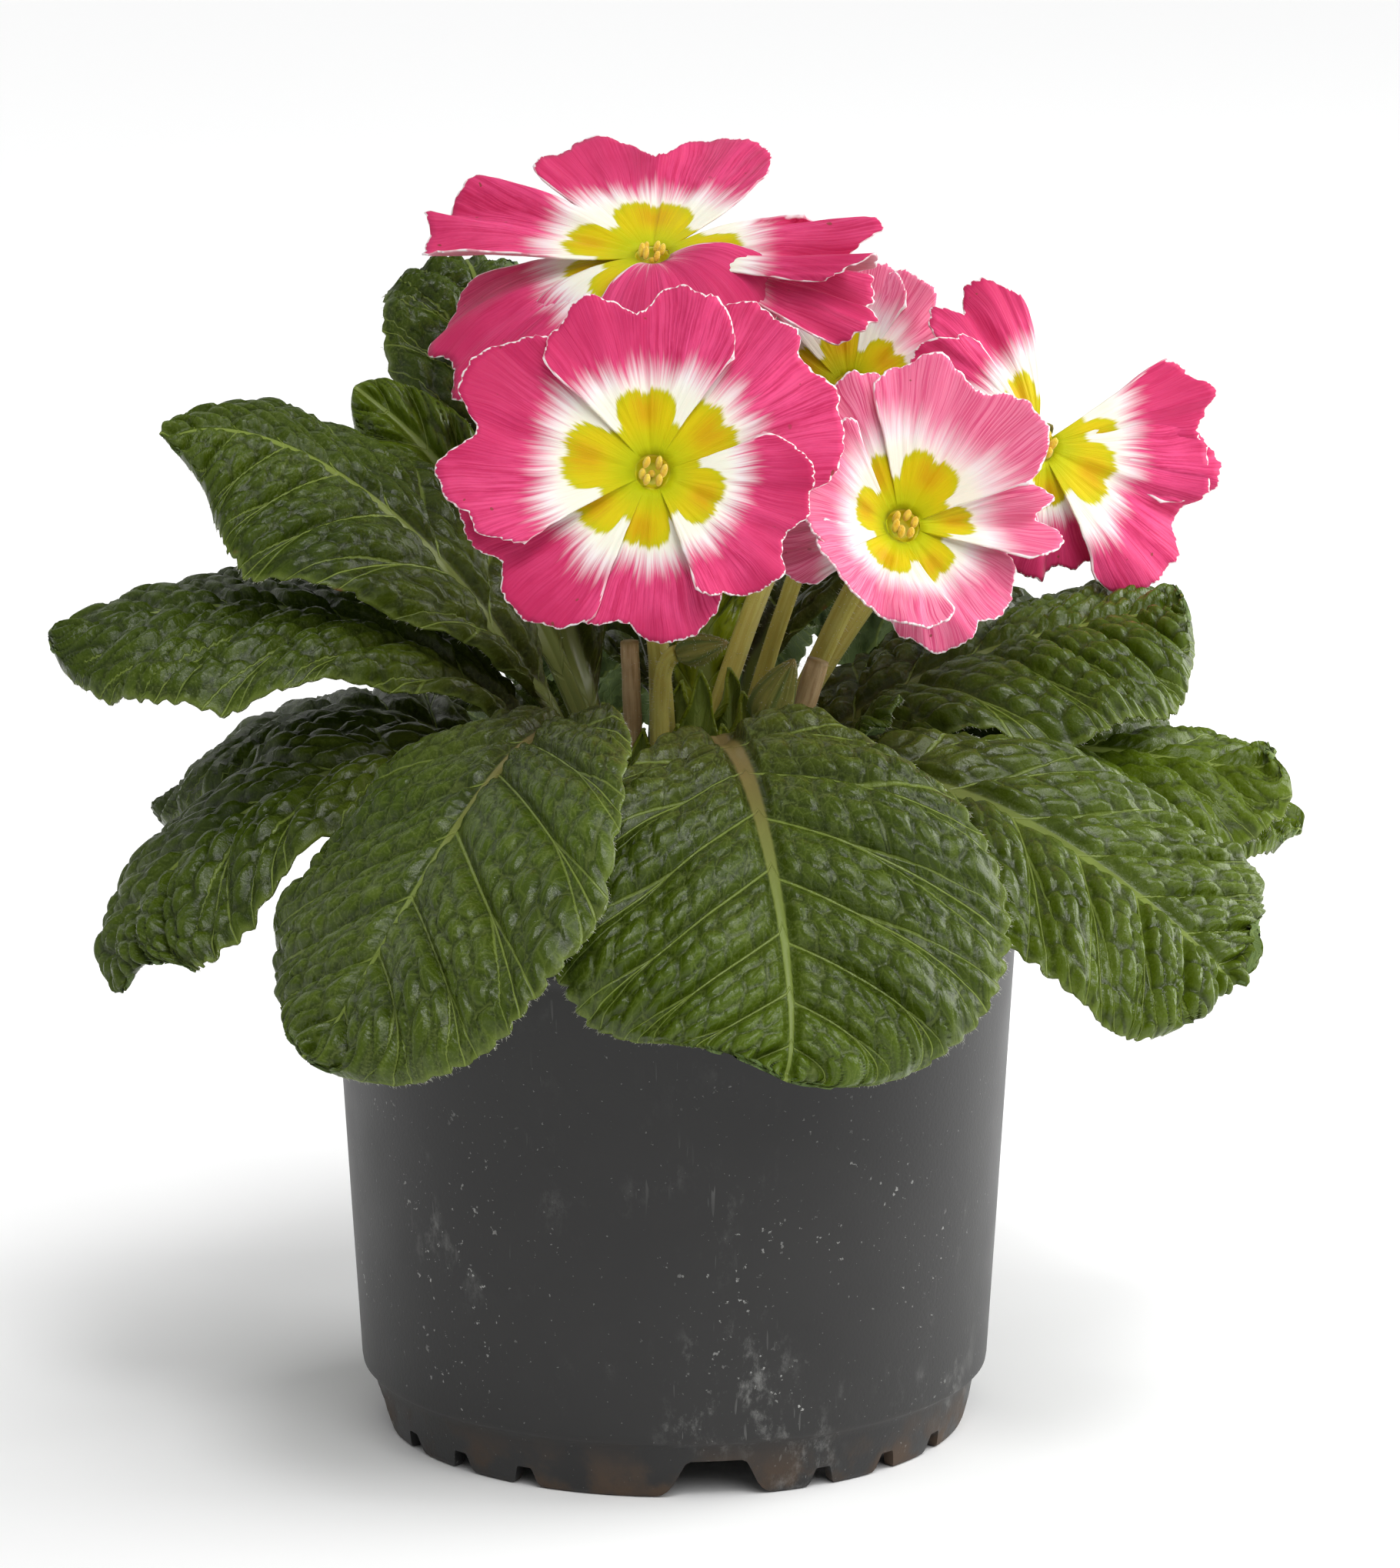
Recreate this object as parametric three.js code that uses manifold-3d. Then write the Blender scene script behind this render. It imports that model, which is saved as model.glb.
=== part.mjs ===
// Potted primrose: a rosette of crinkled leaves with five open blooms on hairy stalks,
// growing from a short stock in the soil of a round nursery pot.
// Millimetres, +Z up. The origin is the middle of the pot's foot, on the surface it stands on.
import * as THREE from 'three';
import { mergeVertices } from 'three/addons/utils/BufferGeometryUtils.js';
import Module from 'manifold-3d';

const wasm = await Module();
wasm.setup();

// ---------------------------------------------------------------- driving dimensions

const GAP = 0.35; // air between neighbouring solids
const DEG = Math.PI / 180;

const POT = {
  height: 83,
  rimRadius: 52.5,
  rimBead: 3, // height of the thickened rim
  shoulderRadius: 52.1, // wall just under the rim
  stepRadius: 47.8, // wall just over the foot
  stepHeight: 8.6,
  footTopRadius: 46.1,
  footRadius: 44, // outer edge of the ring that stands on the table
  wall: 1.5,
  sides: 30,
};

const NOTCH = { first: -82, height: 6.4, foot: 17.7, top: 9 }; // big gaps in the foot, each quarter turn
const SLIT = { from: [21.5, 37, 52.5], foot: 5.6, top: 2.4, height: 3.2 }; // small gaps between them
const DRAIN = { holes: 6, radius: 4, ring: 30, sides: 6 };

const SOIL = { height: 74.5, lump: 1.6, sides: 26, rings: [44, 35, 26], seed: 7 };

const CROWN = { radius: 20, foot: 65, shoulder: 76, top: 84.5, sides: 16, knob: 0.5 };
const ROOT_HEIGHT = 80; // where leaves and stalks stand in the stock
const SOCKET_SIDES = 5;
const SOCKET_LENGTH = 14;

const PETIOLE = { half: 2.3, rootHalf: 1.7, thick: 2.6 };
const BLADE_THICK = 0.75;
const SMALL_LEAF = 20; // a leaf narrower than this has fewer faces
const VEIN_SWEEP = 0.16; // how far side veins lean forward, as a share of the blade
const PUCKER = 1.3; // height of the quilting between side veins
const MIDRIB_KEEL = 1.1; // extra thickness along the midrib
const EDGE_WAVE = 1.5; // how far the blade's edges rise and fall
const BASE_FOLD = 20; // degrees that the halves fold up by at the foot of the blade

const STALK = { radius: 1.6, sides: 6, steps: 6 };
const BUD_STALK = { radius: 1.3, steps: 5 };
const STUB_STEPS = 5;
const CALYX = { height: 12, foot: 1.8, belly: 3.5, rim: 4.1, wall: 0.9, tooth: 3, bore: 2.4, floor: 2.6 };
const THROAT = { radius: 2.6, lip: 3.5, tube: 1.9, tubeLength: 10.5, cup: 2.25, cupDepth: 2.4 };
const PETAL_THICK = 0.7;
const USUAL_NOTCH = 0.08; // depth of the notch in a petal's end, as a share of its reach
const NECK = 13.5; // from the mouth of a bloom back to the foot of its calyx

// ---------------------------------------------------------------- colours and finishes

const FINISH = {
  pot: { color: 0x2f3032, roughness: 0.55 },
  soil: { color: 0x2a1d14, roughness: 0.95 },
  crown: { color: 0x6d6a3a, roughness: 0.85 },
  leaf: { color: 0x3f5f22, roughness: 0.5 },
  youngLeaf: { color: 0x6f9a2e, roughness: 0.5 },
  rose: { color: 0xd63a72, roughness: 0.6 },
  blush: { color: 0xe88bb0, roughness: 0.6 },
  eye: { color: 0xd8cc1c, roughness: 0.6 },
  stalk: { color: 0xa7a86b, roughness: 0.7 },
  bud: { color: 0x6c8a34, roughness: 0.7 },
  stub: { color: 0xb99a6a, roughness: 0.8 },
};

// ---------------------------------------------------------------- leaves
// root, rise, arch and tip are the four points of a leaf's midrib curve.
// petiole: share of the curve before the blade; veins: side veins on each half;
// cup and fold: how each half bends up; roll: how the blade leans, in degrees.

const LEAVES = [
  { name: 'front_mid', root: [3.8, -15.5], rise: [4, -15, 150], arch: [21, -77, 84], tip: [16, -77, 73],
    width: 66, petiole: 0.24, veins: 6, cup: 30, fold: 5, roll: -8, blunt: 0.6, broad: 1.35 },
  { name: 'front_left', root: [-8.9, -13.3], rise: [-9, -15, 150], arch: [-38, -64, 93], tip: [-52, -67, 73],
    width: 67, petiole: 0.24, veins: 6, cup: 30, fold: 3, roll: -10, blunt: 0.6 },
  { name: 'right_low', root: [11.9, -10.7], rise: [20, -16, 134], arch: [82, -50, 83], tip: [81, -44, 79],
    width: 47, veins: 5, cup: 20, fold: 0, roll: -20 },
  { name: 'left_low', root: [-15, -5.4], rise: [-26, -5, 134], arch: [-95, -14, 84], tip: [-82, -17, 71],
    width: 45, veins: 5, cup: 30, fold: -5, roll: 9 },
  { name: 'left_mid', root: [-8.8, -4.7], rise: [-26, -5, 134], arch: [-67, -6, 132], tip: [-93.5, 1, 121],
    width: 44, veins: 5, cup: 30, fold: -8, roll: 12 },
  { name: 'left_up', root: [-10, 0.9], rise: [-20, 2, 135], arch: [-62, 0, 161], tip: [-76, -4, 152],
    width: 46, veins: 5, cup: 15, fold: -30, roll: 26, broad: 1.2, blunt: 0.65 },
  { name: 'top_left', root: [-8.2, 5.7], rise: [-15, 20, 120], arch: [-32, 44, 178], tip: [-32, 50, 170],
    width: 34, veins: 4, cup: 40, fold: 0, roll: 0 },
  { name: 'right_up', root: [9.8, 2.1], rise: [18, 6, 122], arch: [71, 8, 122], tip: [77, 8, 125],
    width: 49, veins: 5, cup: 30, fold: -8, roll: -14, broad: 1.25 },
  { name: 'right_mid', root: [15.8, -2.8], rise: [28, -4, 124], arch: [87, -5, 97], tip: [90, -6, 104],
    width: 32, veins: 5, cup: 25, fold: -12, roll: -18 },
  { name: 'right_far', root: [14.8, 6], rise: [34, 10, 110], arch: [84, 17, 92], tip: [94.8, 11, 88],
    width: 34, veins: 4, cup: 30, fold: 10, roll: -8 },
  { name: 'right_back', root: [7.7, 6.4], rise: [21, 19, 116], arch: [58, 42, 116], tip: [76, 54, 96],
    width: 38, veins: 4, cup: 30, fold: 0, roll: -4 },
  { name: 'back_right', root: [8.7, 13.4], rise: [12, 28, 142], arch: [32, 58, 134], tip: [46, 74, 96],
    width: 44, veins: 4, cup: 30, fold: 5, roll: 6 },
  { name: 'back_mid', root: [-0.8, 16], rise: [-1, 28, 136], arch: [-4, 66, 118], tip: [-4, 81, 90],
    width: 50, veins: 4, cup: 30, fold: 5, roll: 5 },
  { name: 'back_left', root: [-10.3, 12.3], rise: [-20, 26, 120], arch: [-46, 58, 102], tip: [-54, 70, 78],
    width: 46, veins: 4, cup: 30, fold: 5, roll: -6 },
  { name: 'left_rear', root: [-15.5, 3.9], rise: [-32, 13, 118], arch: [-64, 26, 110], tip: [-80, 32, 86],
    width: 32, veins: 4, cup: 30, fold: 0, roll: 8 },
  { name: 'back_up', root: [-3.7, 9.3], rise: [0, 20, 130], arch: [4, 46, 160], tip: [4, 62, 150],
    width: 32, veins: 4, cup: 30, fold: 0, roll: 4 },
  { name: 'small_light', root: [-5.1, 0.9], rise: [-16, 10, 120], arch: [-34, 22, 147], tip: [-49, 29, 154],
    width: 16, petiole: 0.3, veins: 4, cup: 30, fold: 0, roll: 50, slim: 0.7, young: true },
  { name: 'young', root: [2.4, 9.7], rise: [4, 13, 106], arch: [5, 17, 124], tip: [8, 18, 146],
    width: 13.4, petiole: 0.25, veins: 4, cup: 30, fold: 8, roll: -40, slim: 0.75, young: true },
  { name: 'inner_dark', root: [9.6, -3.2], rise: [22, -9, 99], arch: [28, -11, 111], tip: [34, -13, 114],
    width: 9, petiole: 0.3, veins: 4, cup: 30, fold: 10, roll: -10, slim: 0.8 },
];

// ---------------------------------------------------------------- blooms
// at: mouth of the corolla; face: where it looks; stalk: its foot in the stock, the point
// that it rises towards and how straight it arrives. A petal holds its angle, half span
// (degrees), reach (mm), lift and curl (degrees), the rise of its clockwise and other edge,
// its wave (mm), and the depth of its notch where that isn't the usual one.

const BLOOMS = [
  { name: 'front', color: 'rose', at: [-3, -34, 152.2], face: [0.12, -0.92, 0.36],
    stalk: [[-1.4, -5], [0.5, -6, 120], 16],
    petals: [
      [94, 40, 27, 12, -14, 1.3, 1.3, 1.5, 0.12],
      [32, 40, 30, 10, -10, -1.3, -1.3, 1.5, 0.1],
      [-29, 44, 23.5, 10, -10, 1.3, 1.3, 1.4, 0.1],
      [-104, 42, 24.5, 4, -14, -1.3, -1.3, 1.5, 0.12],
      [-152, 37, 29, 6, -20, -1.3, 1.3, 1.5, 0.1],
      [166, 41, 30.5, 8, -10, -1.3, 1.3, 1.5, 0.1],
    ] },
  { name: 'top', color: 'rose', at: [-3.3, 10, 177.4], face: [0, -0.42, 0.9],
    stalk: [[-1.8, 4.9], [-2, 6, 112], 18],
    petals: [
      [89, 44, 32, 5, -6, 1.3, 1.3, 1.4, 0.24],
      [164, 22, 35, 5, -8, 1.3, 1.3, 5],
      [198, 33, 37, -2, -44, -1.3, -1.3, 3],
      [240, 40, 29, 8, -84, 1.3, -1.3, 1.5],
      [298, 62, 26, 34, -118, -1.3, 1.3, 1.2],
      [-1, 19, 33.5, 8, -10, 1.3, 1.3, 5],
      [-9, 20, 34.5, -3, -14, -1.3, -1.3, 3],
    ] },
  { name: 'mid', color: 'blush', at: [33.9, -14, 140.6], face: [0.3, -0.82, 0.48],
    stalk: [[3, -4.3], [15, -5, 103], 8],
    petals: [
      [56, 46, 25.5, 26, -6, 1.3, 1.3, 1.5],
      [117, 38, 24.5, 24, -6, -1.3, -1.3, 1.5],
      [166, 38, 24, 42, -10, 1.3, -1.3, 1.2],
      [230, 44, 24, 32, 6, 1.3, 1.3, 1.4],
      [-60, 44, 20, 4, -10, -1.3, -1.3, 1.4],
      [0, 24, 24, 2, 0, 4, -3, 1],
      [180, 26, 20, -16, -6, -1.3, -1.3, 1],
    ] },
  { name: 'back', color: 'blush', at: [26.7, 22, 155], face: [0.12, -0.84, 0.53],
    stalk: [[0, 0], [6, -4, 122], 6],
    petals: [
      [96, 42, 20.5, 20, -4, -1.2, 1.2, 1.5],
      [36, 42, 20.5, 18, -8, 1.2, 1.2, 1.5],
      [-20, 36, 20, 8, -6, 1.2, -1.2, 1.5],
      [-85, 36, 20, 8, -6, -1.2, -1.2, 1.5],
      [215, 36, 20, 8, -6, -1.2, 1.2, 1.5],
      [153, 38, 21, 14, -8, -1.2, 1.2, 1.5],
    ] },
  { name: 'right', color: 'rose', at: [55.6, 18, 147.1], face: [0.5, -0.82, 0.27],
    stalk: [[5.1, -0.5], [14.5, -4, 112], 8],
    petals: [
      [-1, 27, 30, 8, 0, -1.2, 1.2, 2],
      [-32, 42, 29, 7, -4, 1.2, 1.2, 1.4, 0.12],
      [-84, 34, 20, -4, -8, -1.2, -1.2, 1.4],
      [205, 38, 22, 26, 20, -1.2, -1.2, 1.4],
      [158, 32, 28, 30, -46, 1.2, 1.2, 1.4],
      [118, 28, 28, 34, -64, -1.2, 1.2, 1.4],
    ] },
];

// buds: foot in the stock, the point the stalk rises towards, the bud's foot, and where it points
const BUDS = [
  { name: 'bud_low', foot: [-1.4, -10.2], rise: [-1, -12, 104], at: [0.5, -12, 121],
    face: [0.85, -0.35, 0.25], length: 8.5, belly: 2.7 },
  { name: 'bud_side', foot: [3.2, -9.7], rise: [8, -13, 96], at: [13, -14, 111], face: [0.4, -0.3, 0.85],
    length: 12, belly: 3.6 },
  { name: 'bud_tall', foot: [4.2, 4.2], rise: [12, 4, 112], at: [20, 4, 134], face: [0.4, 0.1, 0.9],
    length: 13, belly: 3.6 },
];
const STUBS = [
  { name: 'stub_cut', foot: [7.4, -8.2], rise: [15, -12, 98], at: [21.5, -12, 120], radius: 1.7 },
  { name: 'stub_old', foot: [-5.4, -4.6], rise: [-6, -7, 104], at: [-6.6, -8, 122], radius: 1.4 },
];

// ---------------------------------------------------------------- small helpers

const clamp = (value, low, high) => Math.min(Math.max(value, low), high);
const vector = (list) => new THREE.Vector3(...list);
const footPoint = ([x, y]) => new THREE.Vector3(x, y, ROOT_HEIGHT);

// A repeatable stream of numbers from 0 to 1.
function seededRandom(seed) {
  let state = seed;
  return () => {
    state = (state * 16807) % 2147483647;
    return state / 2147483647;
  };
}

// Merges the corners that faces share and drops faces with no area.
function weld(geometry) {
  const bare = geometry.clone();
  bare.deleteAttribute('normal');
  bare.deleteAttribute('uv');
  const welded = mergeVertices(bare, 1e-4);
  const corners = welded.index.array;
  const kept = [];
  for (let i = 0; i < corners.length; i += 3) {
    const [a, b, c] = [corners[i], corners[i + 1], corners[i + 2]];
    if (a !== b && b !== c && c !== a) kept.push(a, b, c);
  }
  welded.setIndex(kept);
  return welded;
}

function toSolid(geometry) {
  const welded = weld(geometry);
  return new wasm.Manifold(new wasm.Mesh({
    numProp: 3,
    vertProperties: new Float32Array(welded.attributes.position.array),
    triVerts: new Uint32Array(welded.index.array),
  }));
}

function toGeometry(solid) {
  const mesh = solid.getMesh();
  const geometry = new THREE.BufferGeometry();
  geometry.setAttribute('position', new THREE.BufferAttribute(new Float32Array(mesh.vertProperties), 3));
  geometry.setIndex(Array.from(mesh.triVerts));
  return geometry;
}

function join(geometries) {
  return geometries.map(toSolid).reduce((all, next) => all.add(next));
}

// Turns an outline of [radius, height] pairs about the Z axis.
function lathe(outline, sides) {
  const points = outline.map(([radius, height]) => new THREE.Vector2(radius, height));
  return new THREE.LatheGeometry(points, sides).rotateX(Math.PI / 2);
}

// A round rod along a curve.
function rod(curve, radius, sides, steps) {
  const section = new THREE.Shape();
  for (let i = 0; i < sides; i += 1) {
    const turn = (i / sides) * 2 * Math.PI;
    const place = [radius * Math.cos(turn), radius * Math.sin(turn)];
    if (i === 0) section.moveTo(...place);
    else section.lineTo(...place);
  }
  section.closePath();
  return new THREE.ExtrudeGeometry(section, { steps, extrudePath: curve });
}

// A straight plain hole for something that leaves `foot` in the direction `along`.
function socket(foot, along, radius) {
  const start = foot.clone().addScaledVector(along, -GAP - 0.1);
  const end = foot.clone().addScaledVector(along, SOCKET_LENGTH);
  return rod(new THREE.LineCurve3(start, end), radius, SOCKET_SIDES, 1);
}

// A closed thin body round a curved surface. `pointAt(m, q)` gives its middle surface,
// `thickAt(m, q)` its thickness. Both faces are split into triangles alike.
function sheet(rows, columns, pointAt, thickAt) {
  const grid = rows.map((m) => columns.map((q) => pointAt(m, q)));
  const lastRow = rows.length - 1;
  const lastColumn = columns.length - 1;
  const outer = [];
  const inner = [];
  const along = new THREE.Vector3();
  const across = new THREE.Vector3();
  rows.forEach((m, i) => columns.forEach((q, j) => {
    along.subVectors(grid[Math.min(i + 1, lastRow)][j], grid[Math.max(i - 1, 0)][j]);
    across.subVectors(grid[i][Math.min(j + 1, lastColumn)], grid[i][Math.max(j - 1, 0)]);
    const normal = across.clone().cross(along).normalize();
    const half = thickAt(m, q) / 2;
    outer.push(grid[i][j].clone().addScaledVector(normal, half));
    inner.push(grid[i][j].clone().addScaledVector(normal, -half));
  }));
  const shift = outer.length;
  const at = (i, j) => i * columns.length + j;
  const faces = [];
  for (let i = 0; i < lastRow; i += 1) {
    for (let j = 0; j < lastColumn; j += 1) {
      const [a, b, c, d] = [at(i, j), at(i, j + 1), at(i + 1, j + 1), at(i + 1, j)];
      const pair = j < lastColumn / 2 ? [a, b, d, b, c, d] : [a, b, c, a, c, d];
      faces.push(...pair);
      faces.push(...pair.map((corner) => corner + shift).reverse());
    }
  }
  const wall = (from, to) => faces.push(to, from, from + shift, to, from + shift, to + shift);
  for (let j = 0; j < lastColumn; j += 1) {
    wall(at(0, j), at(0, j + 1));
    wall(at(lastRow, j + 1), at(lastRow, j));
  }
  for (let i = 0; i < lastRow; i += 1) {
    wall(at(i, lastColumn), at(i + 1, lastColumn));
    wall(at(i + 1, 0), at(i, 0));
  }
  const geometry = new THREE.BufferGeometry().setFromPoints([...outer, ...inner]);
  geometry.setIndex(faces);
  return geometry;
}

// ---------------------------------------------------------------- pot

function potWall() {
  const { height, rimRadius, rimBead, shoulderRadius, stepRadius, stepHeight } = POT;
  const { footTopRadius, footRadius, wall, sides } = POT;
  const rimFoot = height - rimBead;
  const floorTop = stepHeight + wall;
  return lathe([
    [0, stepHeight], [footTopRadius - wall - 0.5, stepHeight], [footRadius - wall + 0.1, 0],
    [footRadius - 0.2, 0], [footRadius + 0.5, 0.7], [footTopRadius, stepHeight - 0.6],
    [stepRadius, stepHeight + 1], [shoulderRadius, rimFoot - 0.6], [rimRadius, rimFoot],
    [rimRadius, height - 0.6], [rimRadius - 0.6, height], [rimRadius - wall, height],
    [shoulderRadius - wall, rimFoot], [stepRadius - wall, floorTop + 1],
    [stepRadius - wall - 1, floorTop], [0, floorTop],
  ], sides);
}

// A gap in the foot: a flat outline pushed out through the foot's wall.
function footGap(outline, turn) {
  const gap = new THREE.ExtrudeGeometry(outline, { depth: 12, bevelEnabled: false, curveSegments: 2 });
  // outline x runs round the foot, y up, depth outwards
  gap.applyMatrix4(new THREE.Matrix4().makeBasis(
    new THREE.Vector3(0, 1, 0), new THREE.Vector3(0, 0, 1), new THREE.Vector3(1, 0, 0),
  ));
  return gap.translate(POT.footRadius - 8, 0, 0).rotateZ(turn * DEG);
}

function notchOutline() {
  const { foot, top, height } = NOTCH;
  const outline = new THREE.Shape();
  outline.moveTo(-foot / 2, -1);
  outline.lineTo(foot / 2, -1);
  outline.lineTo(foot / 2 - 0.4, 0.6);
  outline.quadraticCurveTo(top / 2 + 1.4, height - 0.6, top / 2 - 1, height);
  outline.lineTo(1 - top / 2, height);
  outline.quadraticCurveTo(-top / 2 - 1.4, height - 0.6, 0.4 - foot / 2, 0.6);
  outline.closePath();
  return outline;
}

function slitOutline() {
  const { foot, top, height } = SLIT;
  const outline = new THREE.Shape();
  outline.moveTo(-foot / 2, -1);
  outline.lineTo(foot / 2, -1);
  outline.lineTo(top / 2 + 0.4, 0.8);
  outline.lineTo(top / 2, height);
  outline.lineTo(-top / 2, height);
  outline.lineTo(-top / 2 - 0.4, 0.8);
  outline.closePath();
  return outline;
}

function pot() {
  const cuts = [];
  for (let quarter = 0; quarter < 4; quarter += 1) {
    const turn = NOTCH.first + quarter * 90;
    cuts.push(footGap(notchOutline(), turn));
    for (const step of SLIT.from) cuts.push(footGap(slitOutline(), turn + step));
  }
  for (let i = 0; i < DRAIN.holes; i += 1) {
    const turn = (i / DRAIN.holes) * 2 * Math.PI;
    const hole = new THREE.CylinderGeometry(DRAIN.radius, DRAIN.radius, 6, DRAIN.sides).rotateX(Math.PI / 2);
    const middle = POT.stepHeight + POT.wall / 2;
    cuts.push(hole.translate(DRAIN.ring * Math.cos(turn), DRAIN.ring * Math.sin(turn), middle));
  }
  return toGeometry(cuts.reduce((body, cut) => body.subtract(toSolid(cut)), toSolid(potWall())));
}

// ---------------------------------------------------------------- soil and stock

// Soil fills the pot up to a lumpy top with one plain round hole for the stock.
function soil() {
  const { wall, stepHeight, stepRadius, shoulderRadius, height, rimBead } = POT;
  const floor = stepHeight + wall + GAP;
  const edge = (radius) => radius - wall - GAP - 0.15;
  const slope = (shoulderRadius - stepRadius) / (height - rimBead - stepHeight);
  const topRadius = edge(stepRadius + slope * (SOIL.height - stepHeight));
  const outline = [[0, floor], [edge(stepRadius) - 1, floor], [edge(stepRadius), floor + 1.2],
    [topRadius, SOIL.height - SOIL.lump],
    ...SOIL.rings.map((radius) => [radius, SOIL.height]), [0, SOIL.height]];
  const body = weld(lathe(outline, SOIL.sides));
  const random = seededRandom(SOIL.seed);
  const places = body.attributes.position;
  for (let i = 0; i < places.count; i += 1) {
    if (places.getZ(i) > SOIL.height - SOIL.lump / 2) {
      places.setZ(i, SOIL.height + (random() - 0.5) * 2 * SOIL.lump);
    }
  }
  const depth = CROWN.foot - GAP;
  const radius = CROWN.radius + GAP;
  const hole = new THREE.CylinderGeometry(radius, radius, POT.height, CROWN.sides);
  hole.rotateX(Math.PI / 2).translate(0, 0, depth + POT.height / 2);
  return toGeometry(toSolid(body).subtract(toSolid(hole)));
}

// The stock: a low knobbly dome with a plain hole for each leaf and stalk.
function crown(sockets) {
  const { radius, foot, shoulder, top, sides, knob } = CROWN;
  const body = weld(lathe([
    [0, foot], [radius - 1.5, foot], [radius - 0.3, foot + 2], [radius - 0.3, shoulder],
    [radius - 3, top - 2], [0, top],
  ], sides));
  const places = body.attributes.position;
  for (let i = 0; i < places.count; i += 1) {
    const turn = Math.atan2(places.getY(i), places.getX(i));
    const swell = places.getZ(i) > top - 3 ? 1 : 0;
    places.setZ(i, places.getZ(i) + swell * knob * Math.sin(turn * 9));
  }
  return toGeometry(sockets.reduce((all, hole) => all.subtract(toSolid(hole)), toSolid(body)));
}

// ---------------------------------------------------------------- leaf

const UP = new THREE.Vector3(0, 0, 1);

function bezierSlope({ v0, v1, v2, v3 }, t) {
  const slope = new THREE.Vector3();
  slope.addScaledVector(v0, -3 * (1 - t) ** 2);
  slope.addScaledVector(v1, 3 * (1 - t) ** 2 - 6 * (1 - t) * t);
  slope.addScaledVector(v2, 6 * (1 - t) * t - 3 * t * t);
  slope.addScaledVector(v3, 3 * t * t);
  return slope;
}

function midrib({ root, rise, arch, tip }) {
  return new THREE.CubicBezierCurve3(footPoint(root), vector(rise), vector(arch), vector(tip));
}

// Half the leaf's width at t along its midrib: a slim petiole, then a broad blunt blade.
function halfWidth(leaf, t, share) {
  const { petiole = 0.2, width, broad = 1.5, blunt = 0.5, slim = 1 } = leaf;
  const blade = (width / 2) * Math.sin(Math.PI * share ** broad) ** blunt;
  const grown = clamp(t / petiole, 0, 1);
  const stem = slim * (PETIOLE.rootHalf + (PETIOLE.half - PETIOLE.rootHalf) * grown);
  return Math.max(blade, stem * clamp((1 - share) * 2, 0, 1));
}

// A point of the leaf: m runs from root to tip along a side vein's foot, q from -1 to 1 across.
function leafPoint(leaf, curve, m, q) {
  const { petiole = 0.2, veins, roll, fold, cup } = leaf;
  const blade = 1 - petiole;
  const vein = clamp((m - petiole) / blade, 0, 1);
  const t = m + VEIN_SWEEP * Math.sin(Math.PI * vein) * Math.abs(q) * blade;
  const share = clamp((t - petiole) / blade, 0, 1);
  const along = bezierSlope(curve, t).normalize();
  const reach = curve.v3.clone().sub(curve.v0).setZ(0).normalize();
  const flat = reach.cross(UP);
  const side = flat.addScaledVector(along, -flat.dot(along)).normalize();
  const normal = side.clone().cross(along);
  const lean = roll * DEG;
  const across = side.clone().multiplyScalar(Math.cos(lean)).addScaledVector(normal, Math.sin(lean));
  const upward = normal.multiplyScalar(Math.cos(lean)).addScaledVector(side, -Math.sin(lean));
  const half = halfWidth(leaf, t, share);
  const start = (fold * share + BASE_FOLD * (1 - share) ** 3) * DEG;
  const bend = cup * Math.sqrt(share) * DEG + 1e-6;
  const u = Math.abs(q);
  const out = (Math.sin(start) - Math.sin(start - bend * u)) / bend;
  const rise = (Math.cos(start - bend * u) - Math.cos(start)) / bend;
  const wave = Math.sin(6 * Math.PI * share + (q > 0 ? 1.7 : 0));
  const ripple = EDGE_WAVE * u * u * wave * Math.sin(Math.PI * share);
  const quilt = 0.5 - 0.5 * Math.cos(2 * Math.PI * veins * vein);
  const pucker = PUCKER * quilt * Math.sin(Math.PI * u) ** 0.6 * Math.sin(Math.PI * vein) ** 0.4;
  const point = curve.getPoint(t);
  point.addScaledVector(across, Math.sign(q) * out * half);
  return point.addScaledVector(upward, rise * half + ripple + pucker);
}

// Where the petiole first bends.
const firstRow = ({ petiole = 0.2 }) => petiole * 0.55;

function leafBody(leaf) {
  const { petiole = 0.2, veins, width, slim = 1 } = leaf;
  const curve = midrib(leaf);
  const rows = [0, firstRow(leaf)];
  const half = (1 - petiole) / (2 * veins);
  for (let i = 0; i < 2 * veins; i += 1) rows.push(petiole + half * i);
  rows.push(0.975, 0.998);
  const columns = width < SMALL_LEAF ? [-1, -0.5, 0, 0.5, 1] : [-1, -0.7, -0.33, 0, 0.33, 0.7, 1];
  const thickAt = (m, q) => {
    const stem = clamp(1 - m / petiole, 0, 1);
    const keel = MIDRIB_KEEL * slim * (q === 0 ? 1 - m : 0);
    return BLADE_THICK + keel + (PETIOLE.thick * slim - BLADE_THICK) * stem * (1 - 0.5 * q * q);
  };
  return sheet(rows, columns, (m, q) => leafPoint(leaf, curve, m, q), thickAt);
}

// ---------------------------------------------------------------- bloom

const BLOOM_COLUMNS = [1, 0.74, 0.36, 0, -0.36, -0.74, -1];
const BLOOM_ROWS = [0, 0.34, 0.68, 1];

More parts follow.
